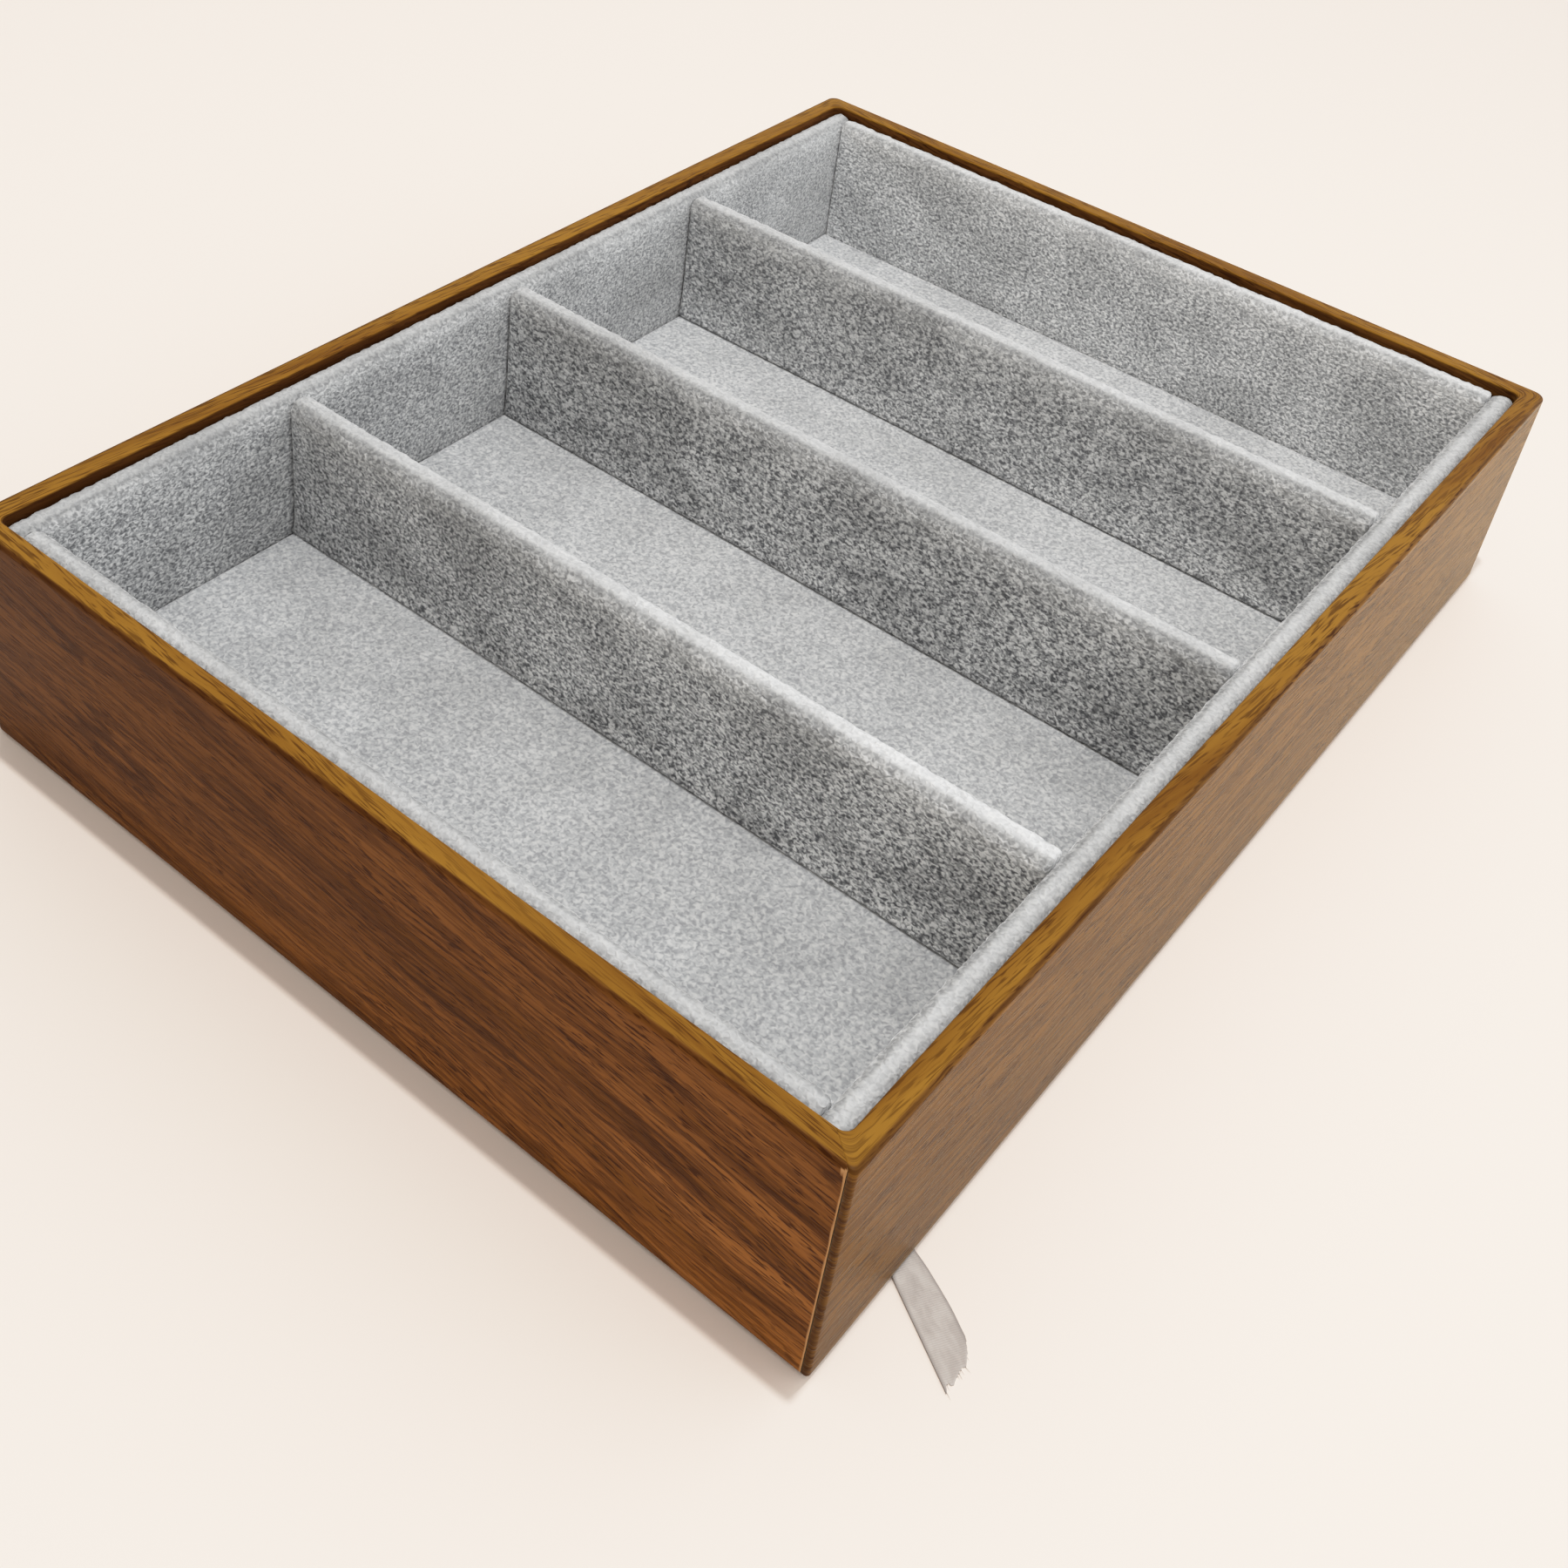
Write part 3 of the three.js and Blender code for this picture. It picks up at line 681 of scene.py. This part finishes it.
# %% Carry the section round the frame
OUTER_CORNER, SEAM_CORNER, INNER_CORNER = 2.0 * MM, 0.7 * MM, 1.6 * MM
CORNER_STEPS = 12
SEAM_GAP = 0.2 * MM
SEAM_TURN = 0.35 * MM
SEAM_LEAD = 3 * MM
CUT_RINGS = [distance * MM for distance in (3, 1.5, 1.2, 1, 0.8, 0.65, 0.5, 0.4, 0.3, 0.15, 0)]
SEAM_CLOSES = 0.4 * MM
KNIFE_WANDER = 0.3
KNIFE_LENGTH = 4 * MM


def wrap_stations():
    """Corner signs, rounding, angle and shift of each ring, from the seam round to the seam."""
    seam = (1, -1, SEAM_CORNER)
    corners = [(1, 1, OUTER_CORNER), (-1, 1, OUTER_CORNER), (-1, -1, OUTER_CORNER)]
    stations = [(*seam, -90, -SEAM_TURN, 0)]
    stations += [(*seam, angle, 0, 0) for angle in np.linspace(-90, 0, CORNER_STEPS)]
    stations.append((*seam, 0, 0, SEAM_LEAD))
    for number, corner in enumerate(corners):
        turn = np.linspace(90 * number, 90 * number + 90, CORNER_STEPS)
        stations += [(*corner, angle, 0, 0) for angle in turn]
    return stations + [(*seam, 270, -SEAM_TURN - before, 0) for before in CUT_RINGS]


def wrap_rings(section, seam_open):
    """The section's points at each station, in the frame of the box."""
    inwards, heights = section[:, 0], section[:, 1]
    rings = []
    for sign_x, sign_y, rounding, angle, shift_x, shift_y in wrap_stations():
        radius = rounding + (INNER_CORNER - rounding) * np.minimum(inwards / WALL, 1)
        x = sign_x * (HALF_X - inwards - radius) + radius * math.cos(math.radians(angle)) + shift_x
        y = sign_y * (HALF_Y - inwards - radius) + radius * math.sin(math.radians(angle)) + shift_y
        rings.append(np.stack([x, y, heights], axis=1))
    rings = np.array(rings)
    knife = np.array([noise.noise(Vector((0, 0, h / KNIFE_LENGTH))) for h in heights])
    rings[-len(CUT_RINGS):, :, 0] -= SEAM_GAP * seam_open * (1 + KNIFE_WANDER * knife)
    return rings


seam_open = np.clip((RIM - OUTER_RIM_ROUND / 3 - wrap_section[:, 1]) / SEAM_CLOSES, 0, 1)
inner_half = wrap_section[:, 0] > WALL / 2
seam_open[inner_half] *= wrap_section[inner_half, 1] < RIM / 2
rings = wrap_rings(wrap_section, seam_open)
print("rings:", len(rings))

# %% [markdown]
# The mesh joins the rings with four-sided faces and closes the two cut ends. Values on its points steer
# the print. The first is the place on the strip, with the grain a little aslant.

# %% Make the wrap
GRAIN_SLOPE = -0.09


def wrap_faces(count, shown):
    """Faces between the rings of count points each, and over the two cut ends."""
    faces = []
    for ring in range(len(rings) - 1):
        for point in range(count):
            a, b = ring * count + point, ring * count + (point + 1) % count
            faces.append([a, a + count, b + count, b])
    last = (len(rings) - 1) * count
    for point in range(shown - 1):
        cap = [point, point + 1, count - 2 - point, count - 1 - point]
        faces.append(cap)
        faces.append([last + i for i in reversed(cap)])
    return faces


def distances(line):
    """How far along a line each of its points lies."""
    return np.concatenate([[0], np.cumsum(np.linalg.norm(np.diff(line, axis=0), axis=1))])


film_faces = wrap_faces(len(wrap_section), len(shown_line))
wrap = add_mesh("walnut_wrap", rings.reshape(-1, 3), film_faces, walnut_film)
travelled = distances(rings[:, len(shown_line) // 2])
strip = np.zeros((len(rings), len(wrap_section), 3))
strip[:, :, 0] = travelled[:, None]
strip[:, :, 1] = distances(wrap_section)[None, :] + travelled[:, None] * GRAIN_SLOPE
add_values(wrap, "strip", strip.reshape(-1, 3))
print("wrap faces:", len(film_faces), "on a strip of", round(travelled[-1] / MM), "mm")

# %% [markdown]
# The rim is golden from just inside its edge, partly as painted warm light. Along that edge, down the
# seam's corner and inside the box, where the film is folded, painted shade darkens it.

# %% Gold rim and painted shade in the folds
GOLD_STARTS, GOLD_FADE = 0.55 * MM, 0.35 * MM
FOLD_PLACE, FOLD_WIDTH, FOLD_SHADE = 0.35 * MM, 0.3 * MM, 0.6

inwards, heights = wrap_section.T
on_rim = np.clip((inwards - GOLD_STARTS) / GOLD_FADE, 0, 1) * (heights > RIM - INNER_RIM_ROUND)
add_values(wrap, "on_rim", np.tile(on_rim, len(rings)))
# Painted shade along the rim's outer edge, on the inner side of the wall and down the seam's corner.
rim_fold_shade = np.exp(-((inwards - FOLD_PLACE) / FOLD_WIDTH) ** 2) * (heights > RIM - OUTER_RIM_ROUND)
inside = (inwards > WALL / 2) * (heights < RIM - INNER_RIM_ROUND / 2)
corner_fold_shade = np.exp(-((travelled - FOLD_PLACE) / SEAM_CORNER) ** 2)[:, None]
corner_fold_shade = corner_fold_shade * (heights < RIM - OUTER_RIM_ROUND)
fold_shade = np.maximum(np.maximum(rim_fold_shade, inside)[None, :], corner_fold_shade)
add_values(wrap, "fold_shade", FOLD_SHADE * fold_shade.ravel())
print("golden points across the film:", int((on_rim > 0).sum()))

# %% [markdown]
# Painted light and shade change along the strip. The right wall is calm: its rings are faint and its film
# is rubbed, and the calm print partly stands in for the pale reflection on it. Painted reflection brightens
# the right wall towards its far end, and painted shade darkens the front wall at its left end, from where it
# gets paler. Painted light also changes each wall a little from its rim to its foot: the front wall is
# paler at its foot, where the table throws light back, and the right wall is darker at its foot.

# %% Calm print, and painted light and shade along the strip
CALM_NEAR, CALM_FAR, RUBBED_FROM = 0.78, 0.95, 0.5
RIGHT_TONE, FRONT_TONE = (1.0, 1.5), (0.52, 1.16, 1.12)
FRONT_DARK_END = 60 * MM
RIGHT_FOOT, FRONT_FOOT = -0.12, 0.2
TONE_CHANGES = 3 * MM

right_end, front_start = 2 * HALF_Y, travelled[-1] - 2 * HALF_X
right_calm = np.interp(travelled, (0, right_end, right_end + TONE_CHANGES), (CALM_NEAR, CALM_FAR, 0))
# The calm print partly stands in for the pale reflection on the right wall.
calm = np.maximum(on_rim[None, :], right_calm[:, None]).ravel()
add_values(wrap, "calm", calm)
rubbed = [int(calm[face].min() > RUBBED_FROM) for face in film_faces]
wrap.data.materials.append(rubbed_film)
wrap.data.polygons.foreach_set("material_index", rubbed)
# Painted light and shade: darker at the left end of the front wall, paler towards the far end of the right
# wall, and changing from rim to foot.
turns = (right_end, right_end + TONE_CHANGES, front_start - TONE_CHANGES, front_start)
painted_light_tone = np.interp(travelled, (0, *turns, front_start + FRONT_DARK_END, travelled[-1]),
                 (*RIGHT_TONE, 1, 1, *FRONT_TONE))
foot_painted_light = np.interp(travelled, turns, (RIGHT_FOOT, 0, 0, FRONT_FOOT))
towards_foot = 1 - 2 * (heights - FOOT) / (RIM - FOOT)
add_values(wrap, "painted_light_tone", (painted_light_tone[:, None] * (1 + foot_painted_light[:, None] * towards_foot)).ravel())
print("rubbed faces:", sum(rubbed))

# %% [markdown]
# At the cut the pale backing of the film shows as a thin line, widest at the top, where fingers rub it.

# %% Cut edge
BACKING_SHOWS, BACKING_WORN, BACKING_FADE = 0.32 * MM, 0.6 * MM, 0.1 * MM
WORN_DEPTH = 0.7 * MM
KNIFE_SEED = 9

worn = np.exp(-((heights - (RIM - OUTER_RIM_ROUND)) / WORN_DEPTH) ** 2)
knife = np.array([noise.noise(Vector((KNIFE_SEED, 0, h / KNIFE_LENGTH))) for h in heights])
width = (BACKING_SHOWS * (1 + KNIFE_WANDER * knife) + BACKING_WORN * worn) * seam_open
from_cut = (travelled[-1] - travelled)[:, None]
add_values(wrap, "cut_edge", np.clip((width[None, :] - from_cut) / BACKING_FADE, 0, 1).ravel())
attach(wrap, "tray")
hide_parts("wood_grain_wrap")
print("widest pale edge:", round(width.max() / MM, 2), "mm")

# %% [markdown]
# ## Ribbon
# A pull ribbon is glued under the bottom lining and comes out under the right wall. It is a woven
# polyester tape with firm selvedges, cut with scissors and left to fray. Across it run fine ribs of weft.

# %% Ribbon material
WEFT_SPACING, WEFT_DEPTH, WEFT_RELIEF = 0.32 * MM, 0.05 * MM, 0.5
CLOUD_LENGTH, CLOUD_WIDTH = 3 * MM, 1.2 * MM
WAVE_TURNS_PER_UNIT = 20 / (2 * math.pi)


def ribbon_material():
    ribbon, tree, shader = new_material("woven_ribbon", {
        "Roughness": 0.62, "Specular IOR Level": 0.3, "Sheen Weight": 0.15})
    place = add_node(tree, "ShaderNodeAttribute", {"attribute_name": "tape"}, output="Vector")
    side = add_node(tree, "ShaderNodeAttribute", {"attribute_name": "selvedge"}, output="Fac")
    weft = add_node(tree, "ShaderNodeTexWave", inputs={
        "Vector": place, "Scale": 1 / (WEFT_SPACING * WAVE_TURNS_PER_UNIT), "Distortion": 1.5,
        "Detail": 1.0}, output="Fac")
    cloudy = stretched_noise(tree, place, (CLOUD_LENGTH, CLOUD_WIDTH, None), 6, 2.0)
    body = add_node(tree, "ShaderNodeValToRGB", inputs={"Fac": cloudy}, stops=[
        (0.35, "#aea59e"), (0.65, "#c0b8b1")])
    ribs = add_node(tree, "ShaderNodeValToRGB", inputs={"Fac": weft}, stops=[
        (0.0, "#000000"), (1.0, "#606060")])
    ribbed = add_node(tree, "ShaderNodeMix", BLEND, {FACTOR: ribs, UNDER: body, OVER: "#9b928c"}, MIXED)
    edged = add_node(tree, "ShaderNodeMix", BLEND, {FACTOR: side, UNDER: ribbed, OVER: "#8e857f"}, MIXED)
    dress(tree, shader, edged, weft, WEFT_DEPTH, WEFT_RELIEF)
    return ribbon


woven_ribbon = ribbon_material()
print("made", woven_ribbon.name)

# %% [markdown]
# A grid of points lets the ribbon spread a little towards its end and ripple here and there, and the last
# row follows the torn outline. It crosses the fold at the wall, so it is one piece from the tray to the
# loose tail.

# %% Ribbon shape
RIBBON_EXIT = (90.15 * MM, -99.9 * MM)
RIBBON_HEADING = math.radians(-31)
RIBBON_HALF = 2.35 * MM
RIBBON_GLUED = 22 * MM
RIBBON_THICKNESS = 0.16 * MM
RIBBON_COLUMNS = 40
RIBBON_GLUED_ROWS, RIBBON_TAIL_ROWS = 12, 48
RIBBON_UNDER_WALL, RIBBON_ON_TABLE = 0.45 * MM, 0.10 * MM
RIBBON_LANDS = 3.5 * MM
RIBBON_OFFSET, RIBBON_SPREAD = 0.45 * MM, 1.5 * MM
RIBBON_SPREADS_FROM, RIBBON_SPREADS_OVER = -3 * MM, 12 * MM
RIBBON_RIPPLE, RIBBON_RIPPLE_LENGTH = 0.22 * MM, 7 * MM
SCISSOR_NICK, NICK_SEED = 0.22 * MM, 7
TORN_OUTLINE_MM = ((-1.9, 18.6), (-1.2, 17.3), (-0.3, 17.9), (0.8, 16.5),
                   (2.5, 15.8), (3.2, 14.9), (3.8, 13.6), (4.3, 12))


def ribbon_grid():
    """Places along and across the ribbon, with every column ending on the torn outline."""
    across = np.linspace(-RIBBON_HALF, RIBBON_HALF, RIBBON_COLUMNS)
    outline_across, outline_along = np.array(TORN_OUTLINE_MM).T * MM
    spread_across = across + RIBBON_OFFSET + RIBBON_SPREAD * (across + RIBBON_HALF) / (2 * RIBBON_HALF)
    reach = np.interp(spread_across, outline_across, outline_along)
    reach += SCISSOR_NICK * np.random.default_rng(NICK_SEED).uniform(-1, 1, RIBBON_COLUMNS)
    glued = steps(-RIBBON_GLUED, 0, RIBBON_GLUED / RIBBON_GLUED_ROWS)[:, None]
    glued = np.repeat(glued, RIBBON_COLUMNS, axis=1)
    tail = np.linspace(0, 1, RIBBON_TAIL_ROWS)[:, None] * reach
    return np.concatenate([glued, tail]), across


def ribbon_points(along, across):
    """Where the middle of the ribbon's thickness runs, in the frame of the box."""
    heading = np.array((math.cos(RIBBON_HEADING), math.sin(RIBBON_HEADING)))
    sideways = np.array((-heading[1], heading[0]))
    spread = np.sin(np.clip((along - RIBBON_SPREADS_FROM) / RIBBON_SPREADS_OVER, 0, 1) * math.pi / 2)
    beside = across + RIBBON_OFFSET + RIBBON_SPREAD * spread * (across + RIBBON_HALF) / (2 * RIBBON_HALF)
    flat = (np.array(RIBBON_EXIT) + along[:, :, None] * heading + beside[:, :, None] * sideways)
    landed = np.clip(along / RIBBON_LANDS, 0, 1)
    landed = landed * landed * (3 - 2 * landed)
    height = RIBBON_UNDER_WALL + (RIBBON_ON_TABLE - RIBBON_UNDER_WALL) * landed
    waves = np.array([noise.noise(Vector((s / RIBBON_RIPPLE_LENGTH, t / RIBBON_RIPPLE_LENGTH, 3)))
                      for s, t in zip(along.ravel(), np.broadcast_to(across, along.shape).ravel())])
    height = height + RIBBON_RIPPLE * landed * np.abs(waves.reshape(along.shape))
    return np.dstack([flat, height])


ribbon_along, ribbon_across = ribbon_grid()
ribbon_middle = ribbon_points(ribbon_along, ribbon_across)
print("ribbon grid:", ribbon_along.shape)

# %% [markdown]
# A few threads hang out of the torn end. Each is a thin three-sided spike: at this size a round section
# would not show.

# %% Make the ribbon
THREADS, THREAD_SEED = 9, 11
THREAD_LENGTH, THREAD_RADIUS = 1.3 * MM, 0.05 * MM
THREAD_STRAY, THREAD_SHORTEST, THREAD_ROOT = 0.5, 0.4, 0.3
SELVEDGE_WIDTH = 0.45 * MM


def loose_threads(end_points, first):
    """Spikes that start at the torn end, as (points, faces) with points numbered from first."""
    draw = np.random.default_rng(THREAD_SEED)
    points, faces = [], []
    for column in draw.choice(len(end_points), THREADS, replace=False):
        angle = RIBBON_HEADING + draw.uniform(-THREAD_STRAY, THREAD_STRAY)
        length = THREAD_LENGTH * draw.uniform(THREAD_SHORTEST, 1.0)
        forward = np.array((math.cos(angle), math.sin(angle), 0))
        sideways = np.array((-forward[1], forward[0], 0))
        root = end_points[column] - forward * THREAD_LENGTH * THREAD_ROOT
        number = first + len(points)
        points += [root + sideways * THREAD_RADIUS, root - sideways * THREAD_RADIUS,
                   root + np.array((0, 0, THREAD_RADIUS)),
                   root + forward * (length + THREAD_LENGTH * THREAD_ROOT)]
        faces += [[number + i for i in face] for face in ((0, 2, 1), (0, 1, 3), (1, 2, 3), (2, 0, 3))]
    return points, faces


def ribbon_piece():
    rows, columns = ribbon_along.shape
    half = np.array((0, 0, RIBBON_THICKNESS / 2))
    top, under = ribbon_middle + half, ribbon_middle - half
    size = rows * columns
    sheet_faces = grid_faces(rows, columns)
    faces = sheet_faces + [[i + size for i in reversed(face)] for face in sheet_faces]
    border = (list(range(columns))
              + [row * columns + columns - 1 for row in range(1, rows)]
              + [(rows - 1) * columns + column for column in reversed(range(columns - 1))]
              + [row * columns for row in reversed(range(1, rows - 1))])
    for a, b in zip(border, border[1:] + border[:1]):
        faces.append([a, b, b + size, a + size])
    threads, thread_faces = loose_threads(ribbon_middle[-1], 2 * size)
    points = np.concatenate([top.reshape(-1, 3), under.reshape(-1, 3), np.array(threads)])
    piece = add_mesh("pull_ribbon", points, faces + thread_faces, woven_ribbon)

    beside = np.broadcast_to(ribbon_across, ribbon_along.shape)
    grid = np.dstack([ribbon_along, beside, np.zeros(ribbon_along.shape)])
    tape = np.concatenate([grid.reshape(-1, 3)] * 2 + [np.zeros((len(threads), 3))])
    add_values(piece, "tape", tape)
    edge = np.clip((np.abs(tape[:, 1]) - RIBBON_HALF + SELVEDGE_WIDTH) / SELVEDGE_WIDTH, 0, 1)
    add_values(piece, "selvedge", edge)
    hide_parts("ribbon_anchor", "ribbon_tail")
    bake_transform(piece)
    return piece


ribbon = ribbon_piece()
print("ribbon faces:", len(ribbon.data.polygons))

# %% [markdown]
# ## Bottom lining and foam pad
# Under the box a thin flannel hides the turned-under film and the glued end of the ribbon. Inside, a foam
# pad lifts the floor. Flannel is matt and a little hairy, and the foam shows its open cells.

# %% Flannel and foam materials
FLANNEL_FIBRE, FLANNEL_DEPTH, FLANNEL_RELIEF = 0.5 * MM, 0.12 * MM, 0.6
FOAM_CELL, FOAM_DEPTH, FOAM_RELIEF = 1.1 * MM, 0.3 * MM, 0.7


def flannel_material():
    flannel, tree, shader = new_material("brushed_flannel", {
        "Roughness": 1.0, "Specular IOR Level": 0.05, "Sheen Weight": 0.25})
    place = add_node(tree, "ShaderNodeTexCoord", output="Object")
    fibres = stretched_noise(tree, place, (FLANNEL_FIBRE,) * 3, 7, 3.0, 1.2)
    greys = add_node(tree, "ShaderNodeValToRGB", inputs={"Fac": fibres}, stops=[
        (0.34, "#6f6d6b"), (0.5, "#8d8b88"), (0.66, "#a4a29f")])
    dress(tree, shader, greys, fibres, FLANNEL_DEPTH, FLANNEL_RELIEF)
    return flannel


def foam_material():
    foam, tree, shader = new_material("open_cell_foam", {"Roughness": 0.95, "Specular IOR Level": 0.1})
    place = add_node(tree, "ShaderNodeTexCoord", output="Object")
    cells = add_node(tree, "ShaderNodeTexVoronoi", inputs={
        "Vector": place, "Scale": 1 / FOAM_CELL}, output="Distance")
    creams = add_node(tree, "ShaderNodeValToRGB", inputs={"Fac": cells}, stops=[
        (0.1, "#b9b6ae"), (0.6, "#e4e1d8")])
    dress(tree, shader, creams, cells, FOAM_DEPTH, FOAM_RELIEF)
    return foam


brushed_flannel, open_cell_foam = flannel_material(), foam_material()
print("made", brushed_flannel.name, "and", open_cell_foam.name)

# %% [markdown]
# Both pieces are rings of a rounded rectangle, closed by one flat face: the flannel rolls up a little at
# its border, and the pad swells at its sides, because the floor presses on it.

# %% Make the lining and the pad
LINING_CORNER, PAD_CORNER = 4 * MM, 2 * MM
LINING_ROLL, LINING_STEPS = 0.3 * MM, 5
PAD_ROUND, PAD_HOLLOW, PAD_STEPS = 2.0 * MM, 0.8 * MM, 13


def rounded_ring(half_x, half_y, corner, height):
    """Points round a rectangle with rounded corners, at one height."""
    ring = []
    for quarter, (sign_x, sign_y) in enumerate(((1, 1), (-1, 1), (-1, -1), (1, -1))):
        centre = (sign_x * (half_x - corner), sign_y * (half_y - corner))
        ring += [(x, y, height) for x, y in arc(centre, corner, 90 * quarter, 90 * quarter + 90)]
    return ring


def stacked_rings(name, stack, material, close_first):
    """A mesh from rings (half sizes, corner, height), closed at the last and, if asked, at the first."""
    points = [point for ring in stack for point in rounded_ring(*ring)]
    count = len(points) // len(stack)
    faces = []
    for level in range(len(stack) - 1):
        for point in range(count):
            a, b = level * count + point, level * count + (point + 1) % count
            faces.append([a, b, b + count, a + count])
    faces.append(list(range(len(points) - count, len(points))))
    if close_first:
        faces.append(list(reversed(range(count))))
    return add_mesh(name, points, faces, material)


def lining_piece():
    low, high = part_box("bottom_lining")
    stack = []
    for turn in np.linspace(0, math.pi / 2, LINING_STEPS):
        inset = LINING_ROLL * (1 - math.cos(turn))
        height = low.z + LINING_ROLL * (1 - math.sin(turn))
        stack.append((high.x - inset, high.y - inset, LINING_CORNER, height))
    piece = stacked_rings("bottom_lining_flannel", stack, brushed_flannel, False)
    piece.data.flip_normals()
    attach(piece, "tray")
    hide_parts("bottom_lining")
    return piece


def pad_piece():
    low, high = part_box("foam_pad")
    middle, half = (low.z + high.z) / 2, (high.z - low.z) / 2
    stack = []
    for turn in np.linspace(-math.pi / 2, math.pi / 2, PAD_STEPS):
        inset = PAD_ROUND * (1 - math.cos(turn)) + PAD_HOLLOW * abs(math.sin(turn))
        stack.append((high.x - inset, high.y - inset, PAD_CORNER, middle + half * math.sin(turn)))
    piece = stacked_rings("floor_foam", stack, open_cell_foam, True)
    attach(piece, "tray")
    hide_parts("foam_pad")
    return piece


lining, pad = lining_piece(), pad_piece()
print("lining and pad faces:", len(lining.data.polygons), len(pad.data.polygons))

# %% [markdown]
# ## Boards
# What is left of the CAD is the boards: fibreboard for the frame and the base, and grey board for the
# cores and the floor card. They are almost wholly covered, but a gap at the seam or a corner shows them,
# so they get their own finish. Both are pressed from fibre: a fine speckle, no grain and no gloss.

# %% Board materials
FIBRE_SPECK, SPECK_DEPTH, SPECK_RELIEF = 0.8 * MM, 0.05 * MM, 0.4


def pressed_board_material(name, dark, pale):
    board, tree, shader = new_material(name, {"Roughness": 0.9, "Specular IOR Level": 0.2})
    place = add_node(tree, "ShaderNodeTexCoord", output="Object")
    specks = stretched_noise(tree, place, (FIBRE_SPECK, FIBRE_SPECK, FIBRE_SPECK / 2), 8, 3.0)
    shades = add_node(tree, "ShaderNodeValToRGB", inputs={"Fac": specks}, stops=[(0.35, dark), (0.65, pale)])
    dress(tree, shader, shades, specks, SPECK_DEPTH, SPECK_RELIEF)
    return board


fibreboard = pressed_board_material("fibreboard", "#7d5f3f", "#a98a63")
grey_board = pressed_board_material("grey_board", "#77756f", "#99978f")
FIBREBOARD_NODES = ["front_board", "back_board", "left_board", "right_board", "base_board"]
GREY_BOARD_NODES = ["floor_card"] + [f"{side}_liner_core" for side in ("front", "back", "left", "right")]
GREY_BOARD_NODES += [f"divider_{number}_core" for number in (1, 2, 3)]
for nodes, material in ((FIBREBOARD_NODES, fibreboard), (GREY_BOARD_NODES, grey_board)):
    for name in nodes:
        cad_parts[name].data.materials.clear()
        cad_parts[name].data.materials.append(material)
print("boards:", len(FIBREBOARD_NODES) + len(GREY_BOARD_NODES))

# %% [markdown]
# ## Stage and light
# A plain pale table and soft room light. A small lamp a metre above the right wall draws the narrow
# shadow along the front wall and none along the right one, and it leaves the faces that look at the
# camera in shade. Pale light from all round does the rest: it is brighter and cooler from the back and
# the right, where a window would be, and dimmer and warmer from the front.

# %% Table and lights
TABLE_SIDE = 6.0
BRIGHT_SIDE = (0.707, 0.707, 0)
ROOM_STRENGTH = 1.6
LAMP_PLACE, LAMP_SIZE, LAMP_POWER = (0.09, -0.04, 1.0), 0.026, 5.0


def room_light():
    """Light from all round, with a colour that depends on the side that it comes from."""
    room = bpy.data.worlds.new("room")
    room.use_nodes = True
    tree = room.node_tree
    direction = add_node(tree, "ShaderNodeTexCoord", output="Generated")
    towards = add_node(tree, "ShaderNodeVectorMath", {"operation": "DOT_PRODUCT"}, {
        0: direction, 1: BRIGHT_SIDE}, "Value")
    side = add_node(tree, "ShaderNodeMath", {"operation": "MULTIPLY_ADD"}, {0: towards, 1: 0.5, 2: 0.5})
    colour = add_node(tree, "ShaderNodeValToRGB", inputs={"Fac": side}, stops=[
        (0.0, "#756a5a"), (1.0, "#fbfdff")])
    background = tree.nodes["Background"]
    tree.links.new(colour, background.inputs["Color"])
    background.inputs["Strength"].default_value = ROOM_STRENGTH
    return room


def add_lamp(name, place, size, power, colour):
    """A square area lamp at a place in metres, turned to the middle of the box."""
    data = bpy.data.lights.new(name, "AREA")
    data.shape = "SQUARE"
    data.size = size
    data.energy = power
    data.color = linear(colour)[:3]
    lamp = bpy.data.objects.new(name, data)
    lamp.location = place
    lamp.rotation_euler = (-Vector(place)).to_track_quat("-Z", "Y").to_euler()
    scene.collection.objects.link(lamp)
    return lamp


table_material = new_material("pale_table", {
    "Base Color": linear("#f9e9dc"), "Roughness": 0.6, "Specular IOR Level": 0.2})[0]
table_corners = [(x * TABLE_SIDE, y * TABLE_SIDE, 0) for x, y in ((-1, -1), (1, -1), (1, 1), (-1, 1))]
table = add_mesh("table", table_corners, [[0, 1, 2, 3]], table_material)
scene.world = room_light()
lamp = add_lamp("desk_lamp", LAMP_PLACE, LAMP_SIZE, LAMP_POWER, "#ffffff")
print("lamp height:", round(lamp.location.z, 2), "m")

# %% [markdown]
# A camera doesn't clip bright light sharply: above mid grey its response bends over, so a beige table in
# full light looks almost white, and only its shadow shows the beige. A curve in the view settings does
# the same.

# %% Camera response
BRIGHTEST = 1.6
RESPONSE = ((0, 0), (0.45, 0.45), (0.7, 0.66), (1.0, 0.83), (1.3, 0.93), (BRIGHTEST, 0.98))

scene.view_settings.view_transform = "Standard"
scene.view_settings.use_curve_mapping = True
mapping = scene.view_settings.curve_mapping
mapping.white_level = (BRIGHTEST,) * 3
curve = mapping.curves[3]
curve.points[0].location = RESPONSE[0]
curve.points[-1].location = (1, RESPONSE[-1][1])
for light, shown in RESPONSE[1:-1]:
    curve.points.new(light / BRIGHTEST, shown)
mapping.update()
print("response points:", len(curve.points))
